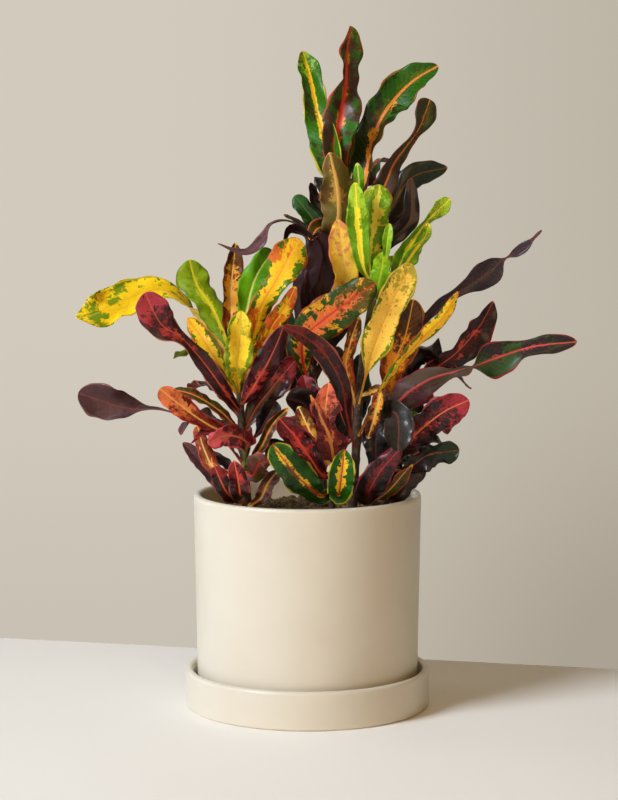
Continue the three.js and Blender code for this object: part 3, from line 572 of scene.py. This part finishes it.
def of_blade(name, out):
    """An attribute: its colour at out 0, its vector at 1 and its alpha at 3."""
    return wire.node("ShaderNodeAttribute", out=out, attribute_name=name)


def drawn(x, y, z, detail):
    """Noise over a flat map of the blade, in millimetres times a share."""
    return wire.node("ShaderNodeCombineXYZ", sockets={0: x, 1: y, 2: z}).noise(1, detail, 0.55)


across, run, number = of_blade("place", 1).split()
half, share, under = of_blade("lay", 1).split()
coat = {name: (of_blade(name, 0), of_blade(name, 3)) for name in COAT_LAYERS}
off = wire.math("ABSOLUTE", across)
aside = off / half
flank = wire.math("SIGN", across)
lobe = number * 3.7 + flank * 1.3
big = drawn((run - off * 0.4) * 0.15, off * 0.15, lobe, 3)
fine = drawn((run - off * 0.4) * 0.36, off * 0.36, lobe + 50, 2)
broad = drawn(across * 0.06, run * 0.05, number * 5.1, 2)
spots = drawn(across * 0.42, run * 0.36, lobe + 90, 2)

# The core spreads from the rib to a ragged edge, and is tinted with the rib's colour near it.
rag = coat["core"][1]
reach = coat["field"][1] + (share - 0.5) * 0.25 * rag.rise(0.1, 0.4)
reach = reach + (big - 0.5) * 2.6 * rag + (fine - 0.5) * 1.1 * rag
core = (reach - aside).rise(-0.03, 0.03)
colour = core.into(coat["field"][0], coat["core"][0])
tint = (1 - aside / reach).rise(0.1, 1) * core * 0.35 + (fine - 0.42).rise(0, 0.3) * core * 0.25
colour = tint.into(colour, coat["rib"][0])
# Blotches lie over both, more of them on one flank than on the other.
amount = coat["blotch"][1]
patch = broad * 0.8 + big * 0.2 + amount * 0.3 + flank * wire.math("SINE", number * 2.1) * 0.04
patch = (patch + (fine - 0.5) * 0.24 - 0.5).rise(0.08, 0.14) * amount.rise(0.01, 0.05)
colour = (patch * 0.9).into(colour, coat["blotch"][0])
# The tip has a colour of its own, and small specks are strewn over the whole blade.
end = (share + (big - 0.5) * 0.9 + (spots - 0.5) * 0.4 + coat["tip"][1]).rise(0.96, 1.14)
colour = (end * 0.92).into(colour, coat["tip"][0])
speck = spots.rise(0.66, 0.7) * coat["under"][1]
colour = speck.into(colour, coat["blotch"][0])
# Side veins leave the rib 6.4 mm apart and slant toward the tip.
saw = wire.math("ABSOLUTE", wire.math("FRACT", (run - off * 1.05) / 6.4 + (fine - 0.5) * 0.5) - 0.5)
line = (saw * 2).rise(0.5, 1.0) * aside.rise(0.02, 0.12) * aside.rise(1.0, 0.8)
colour = (line * 0.04).into(colour, coat["rib"][0])
# The margin and the rib vary in width, and the stalk is all rib. On the dark leaves the pale margin is
# partly painted light, the bright rim along the thin edge.
border = half - off - coat["margin"][1] * 10 * (0.3 + big * 1.4)
border = border.rise(0.5, -0.3) * half.rise(2.5, 5)
colour = (border * 0.85).into(colour, coat["margin"][0])
middle = off - coat["rib"][1] * 10 * (1.15 - share * 0.8) * (0.4 + fine * 0.7 + big * 0.5)
middle = wire.math("MAXIMUM", middle.rise(0.5, -0.4), half.rise(3.4, 2.2))
colour = middle.into(colour, coat["rib"][0])
# The underside shows the upper face through its own colour.
below = 0.45 * half.rise(2, 4) + line * 0.1
below = below.into((middle * 0.5).into(coat["under"][0], coat["rib"][0]), colour)
colour = under.into(colour, below)
# Each blade is a little lighter or darker than the next.
own = wire.math("FRACT", wire.math("SINE", number * 12.9898) * 43.7)
shade = 0.9 + own * 0.15 + (spots - 0.5) * 0.12
grey = wire.node("ShaderNodeCombineXYZ", sockets={0: shade, 1: shade, 2: shade})
colour = wire.node("ShaderNodeVectorMath", operation="MULTIPLY", sockets={0: colour, 1: grey})
feed(colour, blade_shader, "Base Color")
# The wax shines most on dark colours and on the upper face.
feed(0.36 + spots * 0.16 + under * 0.14, blade_shader, "Roughness")
red, leafy, _ = colour.split()
feed(((red + leafy * 2).rise(0.2, 0.0) * 0.24 + 0.05) * (1 - under * 0.7), blade_shader, "Coat Weight")
swell = (0.09 - saw * 0.18) * (0.2 + broad) * aside.rise(0.0, 0.2) * half.rise(3, 8)
grain = wire.node("ShaderNodeTexCoord", out=3).noise(900, 2)
relief(swell + spots * 0.4 + big * 1.8 + grain * 0.1, 0.0007, 0.6, blade_shader)

leaf_numbers = itertools.count(1)


def leafy_shoot(name, node, path, radius, sighted_leaves, outward_leaves):
    """One stem with all its leaves, as one piece that stands for the node. A sighted leaf follows a
    midrib seen from the front and faces the eye, but for the turns about its midrib, in degrees,
    that its row may give, and after them a fold of its own. An outward leaf leaves the stem at a
    heading in degrees, rises, droops at its end and faces up."""
    toward_eye, upward = np.array([0.0, -1.0, 0.0]), np.array([0.0, 0.0, 1.0])
    stem = sighted(path)
    points, places, rows = stem_tube(path, radius)
    bark_faces = len(rows)
    clouds, wheres, lays = [points], [places], [np.zeros_like(places)]
    coats = [np.zeros((len(points), len(COAT_LAYERS), 4))]
    start = len(points)
    quads = leaf_faces()
    blades = []
    for k, (coat_name, outline, width, share_up, midrib, *twist) in enumerate(sighted_leaves):
        root = evenly(stem, np.array([share_up]))[0]
        blades.append((coat_name, np.concatenate([root, sighted(midrib)]), outline, width,
                       twist[0] if twist else [0], toward_eye, k, twist[1:]))
    for k, (coat_name, outline, width, share_up, heading, out, rise, droop) in enumerate(outward_leaves):
        root = evenly(stem, np.array([share_up]))[0][0]
        go = np.array([math.cos(math.radians(heading)), math.sin(math.radians(heading)), 0])
        points = [root] + [root + go * out * share_of + [0, 0, height] for share_of, height in
                           ((0.3, rise * 0.6), (0.68, rise), (1, rise - droop))]
        blades.append((coat_name, np.array(points), outline, width, [0], upward, k + 3, ()))
    for coat_name, points, outline, width, turns, reference, phase, own_fold in blades:
        cloud, where, lay = leaf(points, outline, width, turns, reference, phase, next(leaf_numbers),
                                 own_fold)
        colours = np.array([[*tone(*row[:3])[:3], row[3]] for row in COATS[coat_name]])
        clouds.append(cloud)
        wheres.append(where)
        lays.append(lay)
        coats.append(np.repeat(colours[None], len(cloud), 0))
        rows += (quads + start).tolist()
        start += len(cloud)
    attributes = {"place": np.concatenate(wheres), "lay": np.concatenate(lays)}
    attributes.update(zip(COAT_LAYERS, np.concatenate(coats).transpose(1, 0, 2)))
    made = solid(name, np.concatenate(clouds), rows, bark, attributes)
    made.data.materials.append(blade)
    kinds = np.ones(len(rows), int)
    kinds[:bark_faces] = 0
    made.data.polygons.foreach_set("material_index", kinds)
    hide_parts(node)
    return made


left_shoot = leafy_shoot(
    "left_leafy_stem", "left_shoot",
    [[-60, 200, -5], [-64, 257, -6], [-67, 307, -6], [-69, 342, -6]], 4.2,
    [["sulphur", [0.2, 0.4, 0.5, 0.52, 0.4, 0.5, 0.6, 0.66, 0.9, 0.97, 1, 0.92, 0.62], 38, 0.82,
      [[-83, 347, 10], [-104, 384, 22], [-142, 416, 22], [-186, 404, 8], [-211, 392, -6], [-229, 388, -14]],
      [150, 150, 150, 140, 75, 25, 20, 25, 60]],
     ["olive", "oar", 31, 0.95, [[-81, 367, 2], [-95, 399, 12], [-110, 422, 20], [-117, 446, 26]],
      [10, 20, 28, 28]],
     ["amber", [0.2, 0.4, 0.75, 0.95, 1, 1, 0.9, 0.8, 0.5], 21, 0.97, [[-75, 382, 10], [-76, 417, 22],
      [-71, 463, 32]], [15, 20, 20]],
     ["green", "oar", 28, 1, [[-59, 402, 8], [-51, 429, 20], [-35, 455, 34]], [0, 0, 10]],
     ["harlequin", [0.1, 0.35, 0.6, 0.72, 0.6, 0.75, 1, 1, 0.85], 33, 0.95, [[-54, 372, -14],
      [-45, 402, -26], [-30, 427, -36], [-9, 467, -42]], [40, 20, -20, 0]],
     ["flame", "strap", 18, 0.88, [[-49, 352, -20], [-34, 382, -30], [-22, 399, -36], [-12, 420, -40]],
      [20, 10, 10]],
     ["canary", [0.08, 0.12, 0.4, 0.75, 0.95, 1, 1, 0.85, 0.5], 27, 0.78, [[-70, 329, -26], [-68, 357, -44],
      [-65, 395, -52]]],
     ["harlequin", "strap", 18, 0.76, [[-85, 337, -4], [-100, 362, 6], [-118, 388, 18]]],
     ["garnet", [0.1, 0.3, 0.44, 0.48, 0.46, 0.36, 0.7, 1, 0.85], 36, 0.66, [[-85, 319, -26],
      [-104, 345, -36], [-126, 369, -46], [-144, 381, -52], [-161, 413, -56]], [10, 0, 10, 40, 10, 0], 0.35],
     ["plum", [0.15, 0.3, 0.28, 0.2, 0.1, 0.4, 0.88, 1, 0.85], 34, 0.36, [[-85, 277, 0], [-117, 288, 8],
      [-147, 297, 14], [-179, 298, 16], [-228, 314, 12]], [90, 80, 90, 60, 10, 0]],
     ["bronze", "strap", 14, 0.48, [[-77, 285, -14], [-94, 300, -18], [-111, 310, -20], [-135, 319, -18]],
      [60, 50, 50]],
     ["garnet", "strap", 26, 0.5, [[-52, 297, 0], [-35, 319, 6], [-10, 349, 10]]],
     ["crimson", "strap", 25, 0.7, [[-57, 315, -28], [-42, 339, -42], [-23, 378, -56]], [15, 10, 20]],
     ["bronze", "strap", 11, 0.25, [[-45, 262, -26], [-35, 282, -28], [-19, 299, -28]]],
     ["night", "spoon", 20, 0.4, [[-49, 274, -8], [-40, 290, -10], [-31, 305, -10]]]],
    [["sulphur", "lance", 26, 0.9, 120, 62, 60, 8],
     ["olive", "strap", 24, 0.8, 165, 70, 44, 10],
     ["garnet", "lance", 26, 0.6, 135, 78, 36, 14],
     ["plum", "strap", 22, 0.45, 200, 66, 28, 16],
     ["harlequin", "lance", 25, 0.7, 75, 52, 52, 6],
     ["night", "strap", 20, 0.15, 150, 62, 32, 10],
     ["ruby", "strap", 20, 0.28, 95, 60, 30, 10]])


# Low shoot. A short stem at the left rim of the soil. Its small rose and dark red leaves lean out
# over the rim of the pot.
low_shoot = leafy_shoot(
    "low_leafy_stem", "low_shoot",
    [[-62, 191, -48], [-64, 226, -50], [-62, 262, -48]], 3.4,
    [["coral", [0.1, 0.3, 0.5, 0.6, 0.65, 0.8, 1, 1, 0.85], 22, 0.95, [[-75, 270, -52], [-97, 281, -60],
      [-117, 294, -68], [-147, 318, -78]], [10, 10, 10, 0]],
     ["tangerine", "strap", 15, 0.5, [[-92, 237, -46], [-103, 257, -44], [-110, 282, -42]]],
     ["plum", "strap", 15, 0.2, [[-92, 226, -34], [-109, 247, -30], [-124, 264, -28]], [20]],
     ["rose", "strap", 22, 0.9, [[-62, 265, -68], [-79, 271, -84], [-100, 264, -94]], [40, 20, -20]],
     ["moss", "lance", 25, 0.6, [[-54, 232, -68], [-48, 243, -74], [-36, 246, -76]], [0, 10, 30]],
     ["ruby", "strap", 17, 0.15, [[-79, 212, -66], [-86, 224, -76], [-93, 241, -82]]],
     ["ruby", "lance", 20, 0.3, [[-67, 212, -76], [-69, 225, -88], [-73, 245, -96]]],
     ["dusk", "strap", 15, 0.1, [[-47, 208, -54], [-41, 221, -58], [-29, 237, -62]], [10]]],
    [["ruby", "strap", 18, 0.7, 205, 55, 34, 10]])


# Tall shoot. The oldest and tallest stem, behind the middle. It carries dark green and nearly
# black leaves along its whole length, with long ones in the crown.
tall_shoot = leafy_shoot(
    "tall_leafy_stem", "tall_shoot",
    [[15, 203, 24], [11, 267, 28], [5, 327, 28], [6, 377, 25], [18, 437, 18], [33, 482, 12],
     [41, 522, 10]], 5.2,
    [["jade", [0.15, 0.4, 0.75, 1, 1, 0.8, 0.72, 0.75, 0.5], 31, 0.93, [[20, 554, 6], [11, 585, 22],
      [3, 620, 40], [-5, 650, 52]], [-20, -20, 10, 30], 0.3],
     ["jadered", [0.15, 0.4, 0.8, 1, 0.95, 0.82, 0.72, 0.68, 0.66], 35, 0.99, [[28, 553, 4], [33, 592, 10],
      [36, 621, 18], [37, 653, 18], [41, 675, 14]], [0, 0, 15, 50, 55], 0.8],
     ["jadeorange", [0.2, 0.6, 0.95, 1, 0.95, 1, 1, 0.8, 0.5], 35, 0.95, [[54, 515, 4], [64, 559, 14],
      [74, 586, 20], [87, 605, 26], [107, 623, 30], [128, 636, 30]], [-50, -50, -50, -40, -5, -30, -10],
      0.5],
     ["jadedark", [0.1, 0.3, 0.65, 0.85, 0.75, 0.45, 0.3, 0.95, 1], 27, 0.9, [[71, 512, -10], [85, 541, -6],
      [98, 559, 2], [108, 573, 10], [120, 603, 20]], [-20, -10, 20, 45, 0]],
     ["black", "lance", 27, 0.75, [[65, 467, -4], [83, 499, 0], [103, 527, 8], [138, 537, 18]]],
     ["night", "strap", 18, 0.7, [[65, 455, -18], [85, 469, -18], [100, 485, -16], [102, 527, -10]],
      [20, 20, 0]],
     ["umber", [0.08, 0.3, 0.62, 0.9, 1, 1, 0.88, 0.62, 0.3], 36, 0.74, [[31, 489, -20], [30, 515, -30],
      [22, 552, -38]], [180]],
     ["apricot", [0.08, 0.15, 0.35, 0.6, 0.85, 1, 1, 0.92, 0.7], 25, 0.5, [[38, 425, -24], [35, 452, -36],
      [30, 486, -42]]],
     ["night", [0.1, 0.4, 0.75, 0.95, 1, 1, 1, 0.95, 0.9], 30, 0.4, [[12, 407, -6], [14, 437, -8],
      [13, 474, -12]], [175, 175, 170]],
     ["bronze", "oar", 15, 0.62, [[21, 474, 4], [11, 477, -4], [3, 464, -10]], [60, 40, 20]],
     ["night", [0.1, 0.5, 0.9, 1, 1, 1, 0.9, 0.8, 0.6], 26, 0.42, [[-7, 417, -8], [4, 445, -8],
      [-2, 469, -10], [-16, 475, -12], [-26, 457, -14]], [150, 145, 135, 100]],
     ["plum", [0.15, 0.6, 0.9, 0.7, 0.5, 0.8, 1, 0.7, 0.5], 12, 0.62, [[1, 467, 12], [-17, 484, 10],
      [-36, 481, 5], [-45, 464, 0], [-61, 453, -2], [-89, 459, 0]], [90, 70, 40, 90, 30, 60]],
     ["black", "strap", 14, 0.66, [[5, 469, 24], [-7, 483, 24], [-21, 493, 20]], [60]],
     ["night", "strap", 13, 0.8, [[15, 482, 22], [9, 497, 26], [1, 521, 28]], [30]],
     ["bottlegreen", "oar", 18, 0.72, [[13, 472, 16], [1, 492, 18], [-13, 509, 18]]],
     ["green", "strap", 12, 0.85, [[50, 517, -18], [49, 541, -16]]],
     ["harlequinred", [0.08, 0.1, 0.14, 0.4, 0.8, 1, 1, 0.95, 0.85], 38, 0.28, [[-4, 366, -30],
      [18, 388, -46], [66, 422, -60]]],
     ["night", "oar", 27, 0.12, [[8, 277, -16], [-4, 302, -24], [-23, 307, -28]], [30, 20, 20]],
     ["garnet", "oar", 21, 0.25, [[4, 302, -6], [-4, 331, -8]]],
     ["olive", "oar", 19, 0.3, [[1, 312, 18], [-17, 326, 24]], [180]],
     ["night", "lance", 24, 0.18, [[24, 282, 6], [32, 318, 2], [30, 360, 4]]],
     ["black", "lance", 24, 0.24, [[-12, 330, 22], [-22, 362, 26], [-18, 396, 34]]],
     ["black", "strap", 22, 0.06, [[-8, 236, 10], [-30, 258, 4], [-46, 262, 0]], [20, 10, 0]],
     ["night", "lance", 26, 0.36, [[30, 382, 30], [50, 412, 34], [62, 450, 44]]],
     ["black", "lance", 27, 0.1, [[30, 262, 14], [47, 300, 16], [52, 352, 18]]]],
    [["jade", "lance", 30, 0.95, 100, 55, 88, 10],
     ["jadered", "lance", 30, 0.88, 35, 74, 62, 14],
     ["black", "lance", 30, 0.82, 97, 72, 60, 14],
     ["night", "lance", 28, 0.72, 85, 88, 48, 20],
     ["umber", "strap", 26, 0.62, 130, 80, 40, 22],
     ["black", "lance", 28, 0.55, 60, 90, 36, 22],
     ["garnet", "lance", 30, 0.45, 105, 96, 34, 20],
     ["night", "strap", 26, 0.35, 145, 84, 30, 18],
     ["plum", "lance", 28, 0.25, 75, 92, 26, 20],
     ["ruby", "strap", 24, 0.16, 115, 82, 30, 16],
     ["black", "strap", 24, 0.08, 60, 76, 34, 14],
     ["garnet", "strap", 22, 0.05, 150, 70, 36, 12]])


# Lime shoot. A straight stem in front of the tall one, with lime and yellow leaves in its crown
# and long yellow and maroon ones that hang forward.
lime_shoot = leafy_shoot(
    "lime_leafy_stem", "lime_shoot",
    [[45, 196, -24], [49, 267, -28], [51, 307, -30], [57, 357, -32], [63, 397, -32], [68, 424, -32]], 4.6,
    [["limestripe", "lance", 22, 0.97, [[56, 437, -42], [51, 472, -48], [47, 522, -44]]],
     ["limespot", "oar", 29, 0.95, [[61, 445, -34], [65, 477, -34], [71, 520, -30]]],
     ["lime", "spoon", 9, 1, [[77, 449, -46], [79, 467, -48], [81, 482, -46]]],
     ["green", "strap", 10, 1, [[67, 439, -34], [72, 457, -32]]],
     ["lime", "lance", 20, 0.93, [[67, 409, -42], [72, 430, -46], [76, 454, -48]]],
     ["limestripe", [0.1, 0.4, 0.8, 1, 0.9, 0.6, 0.45, 1, 0.9], 18, 0.98, [[85, 429, -38], [98, 455, -36],
      [117, 483, -30], [140, 506, -22]], [0, 0, 40, 0]],
     ["limestripe", "lance", 14, 0.96, [[91, 435, -44], [106, 457, -48], [116, 469, -50], [120, 482, -50]],
      [40, 40, 30]],
     ["ochre", [0.06, 0.06, 0.08, 0.5, 1, 1, 0.95, 0.92, 0.85], 29, 0.45, [[59, 335, -60], [67, 362, -76],
      [83, 402, -92], [103, 443, -104]]],
     ["harlequin", [0.2, 0.35, 0.5, 0.6, 0.75, 0.95, 1, 0.9, 0.6], 14, 0.3, [[71, 312, -56], [93, 345, -66],
      [118, 372, -78], [136, 390, -88], [150, 413, -96]], [60, 60, 50, 20, 20]],
     ["amber", "strap", 14, 0.42, [[38, 342, -42], [42, 362, -44], [50, 390, -42]], [20]],
     ["amber", "strap", 13, 0.5, [[71, 315, -56], [67, 292, -54], [60, 267, -52]]],
     ["maroon", [0.08, 0.2, 0.5, 0.8, 0.95, 1, 1, 0.9, 0.6], 19, 0.25, [[39, 292, -50], [34, 322, -70],
      [17, 352, -86], [-4, 370, -96], [-26, 379, -100]], [0, 0, 0, 15, 30]]],
    [["limespot", "lance", 21, 0.9, 52, 34, 44, 6]])


# Right shoot. A stem at the right, whose maroon and scarlet leaves reach far out to the side, one
# of them pinched into several short blades along its rib.
right_shoot = leafy_shoot(
    "right_leafy_stem", "right_shoot",
    [[78, 201, 8], [81, 240, 4], [85, 280, 0], [89, 314, -2]], 4.4,
    [["plumdark", [0.08, 0.12, 0.2, 0.35, 0.5, 0.55, 0.5, 0.45, 0.45, 0.42, 0.4, 0.45, 0.6, 0.9, 1, 0.75,
      0.06, 0.38, 0.42, 0.15, 0.3], 26, 1, [[101, 357, 12], [114, 385, 20], [133, 404, 28], [155, 418, 34],
      [177, 432, 38], [192, 445, 38], [212, 457, 36], [231, 475, 30]], [0, 0, 20, 40, 20, 0, 0, 0, 0]],
     ["ember", "strap", 32, 0.9, [[83, 335, -18], [96, 367, -26], [105, 407, -30]]],
     ["scarletblack", "lance", 32, 0.85, [[118, 332, 14], [148, 355, 22], [171, 382, 28], [184, 405, 30]],
      [30]],
     ["scarletgreen", [0.1, 0.3, 0.6, 0.8, 0.83, 0.8, 0.6, 0.35, 0.55, 0.9, 1, 0.8, 0.5, 0.5, 0.58, 0.52,
      0.45], 36, 0.75, [[93, 307, -26], [121, 327, -36], [153, 337, -44], [190, 350, -50], [223, 360, -52],
      [267, 365, -52]], [170, 170, 150, 20, 0, 0]],
     ["night", "oar", 20, 0.95, [[101, 332, 6], [113, 350, 6], [131, 345, 2]], [40]],
     ["ruby", [0.1, 0.3, 0.6, 0.9, 1, 0.8, 0.95, 0.9, 0.7], 34, 0.55, [[95, 261, -30], [113, 277, -44],
      [136, 295, -58], [161, 307, -68]]],
     ["black", "oar", 25, 0.35, [[98, 237, -22], [121, 252, -34], [151, 256, -44]], [10]],
     ["slate", "oar", 28, 0.6, [[82, 295, -42], [90, 289, -66], [90, 254, -84]]],
     ["rubydark", "lance", 27, 0.1, [[61, 212, -62], [73, 235, -76], [93, 258, -84]]],
     ["bronze", "lance", 16, 0.08, [[71, 207, -50], [85, 220, -58], [103, 244, -62]], [40]],
     ["night", "lance", 17, 0.05, [[88, 207, -18], [100, 222, -18], [121, 247, -16]], [20]],
     ["jade", "oar", 17, 0.6, [[98, 275, 0], [110, 293, 4]]],
     ["scarlet", "oar", 14, 0.8, [[103, 304, 5], [126, 312, 8]]],
     ["black", "strap", 24, 0.4, [[94, 262, 14], [104, 300, 20], [100, 336, 26]]],
     ["night", "lance", 26, 0.2, [[70, 238, -2], [68, 268, 0], [70, 306, 8]]]],
    [["black", "lance", 30, 0.9, 55, 80, 52, 16],
     ["scarletgreen", "lance", 28, 0.78, 25, 88, 44, 18],
     ["garnet", "lance", 28, 0.6, 80, 84, 40, 18],
     ["ruby", "strap", 24, 0.45, 40, 80, 30, 14],
     ["black", "strap", 22, 0.3, 15, 70, 28, 12],
     ["night", "strap", 22, 0.12, 70, 58, 34, 8]])


# Front shoot. The shortest stem, rooted in the soil just behind the front rim, with a few salmon,
# green and scarlet leaves that spread low over the front of the pot.
front_shoot = leafy_shoot(
    "front_leafy_stem", "front_shoot",
    [[24, 190, -58], [26, 222, -60], [27, 250, -60]], 3.4,
    [["salmon", [0.2, 0.7, 1, 0.95, 0.6, 0.6, 0.95, 0.6, 0.3], 32, 0.9, [[23, 266, -74], [18, 290, -86],
      [21, 324, -92]], [0], 0.3],
     ["crimsonjade", "strap", 30, 0.5, [[15, 210, -80], [-2, 222, -94], [-19, 241, -104], [-35, 262, -108]]],
     ["jadeyellow", "lance", 26, 0.6, [[31, 212, -82], [34, 231, -94], [37, 257, -98]]],
     ["scarlet", "strap", 27, 0.7, [[15, 232, -70], [1, 251, -80], [-13, 271, -86], [-28, 288, -88]]],
     ["amber", "strap", 17, 0.85, [[19, 245, -66], [6, 268, -66], [-9, 300, -60]]],
     ["salmon", [0.2, 0.4, 0.5, 0.6, 0.9, 1, 0.9, 0.6, 0.3], 9, 0.95, [[22, 270, -78], [12, 292, -90],
      [3, 312, -94]]]],
    [])


# Floor, walls and light. A pale table top whose far edge runs behind the pot, and warm walls
# all round that glow with painted light, lighter at the left and top and darker towards the lower
# right. One large cool light stands high at the left front, a low one behind at the left lights
# the edges, and a weak warm one in front and one overhead fill the shade.
def sheet(name, corners, material):
    """One flat sheet between four corners."""
    mesh = bpy.data.meshes.new(name)
    mesh.from_pydata(corners, [], [(0, 1, 2, 3)])
    mesh.materials.append(material)
    return placed(name, mesh)


table_paint, table_shader, wire = finish("table_paint", Roughness=0.7)
spot = wire.node("ShaderNodeTexCoord", out=3)
feed(spot.noise(3, 2).into(tone(252, 245, 236), tone(254, 248, 239)), table_shader, "Base Color")
painted_light_wall, wall_shader, wire = finish("painted_light_wall", Roughness=1.0, Emission_Strength=1.0)
wall_shader.inputs["Base Color"].default_value = (0, 0, 0, 1)
wall_shader.inputs["Specular IOR Level"].default_value = 0
# The walls' colour is emitted: painted light, lighter at the left and top, with painted shade growing
# towards the lower right.
side, _, height = wire.node("ShaderNodeTexCoord", out=3).split()
shade = side.rise(-0.5, 1.1) * 0.6 + height.rise(0.1, -1.1) * 0.3
shade = shade + side.rise(0, 1) * height.rise(0, -1) * 0.25
feed(shade.into(tone(210, 203, 189), tone(172, 162, 147)), wall_shader, "Emission Color")
table = sheet("table", [(-4, -3, 0), (4, -3, 0), (4, -0.72, 0), (-4, 1.18, 0)], table_paint)
room, wall_away, wall_low, wall_high = 7, 4.4, -4, 5
walls = [sheet("wall_low", [(-room, -room, wall_low), (room, -room, wall_low), (room, room, wall_low),
                            (-room, room, wall_low)], painted_light_wall)]
for name, start, end in (("wall", (-room, wall_away), (room, wall_away)),
                         ("wall_left", (-wall_away, -room), (-wall_away, room)),
                         ("wall_right", (wall_away, room), (wall_away, -room)),
                         ("wall_near", (room, -wall_away), (-room, -wall_away))):
    walls.append(sheet(name, [(*start, wall_low), (*end, wall_low), (*end, wall_high),
                              (*start, wall_high)], painted_light_wall))
for wall in walls:
    wall.visible_diffuse = False  # the walls are seen, and mirrored in the glaze, but light nothing


def lamp(name, power, size, place, aim, colour):
    """A round soft light: its power in watts, its size, place and aim in metres, and its colour."""
    light = placed(name, bpy.data.lights.new(name, "AREA"))
    light.data.energy = power
    light.data.shape = "DISK"
    light.data.size = size
    light.data.color = colour
    light.location = place
    light.rotation_euler = (Vector(aim) - light.location).to_track_quat("-Z", "Y").to_euler()


lamp("key", 178, 1.6, (-2.65, -2.07, 2.65), (0, 0, 0.25), (0.8, 0.89, 1))
lamp("edge", 22, 1.5, (-3.7, 1.6, 0.8), (0, 0, 0.3), (0.93, 0.95, 1))
lamp("front", 28, 2.0, (0.4, -3.6, 1.3), (0, 0, 0.25), (1, 0.6, 0.16))
lamp("top", 21, 2.4, (0.6, 0.6, 3.4), (0.1, 0, 0), (1, 0.87, 0.66))
world = bpy.data.worlds.new("room")
world.use_nodes = True
air = world.node_tree.nodes["Background"].inputs
air["Color"].default_value = (1, 0.5, 0.03, 1)
air["Strength"].default_value = 0.01
bpy.context.scene.world = world
bpy.context.scene.view_settings.view_transform = "Standard"
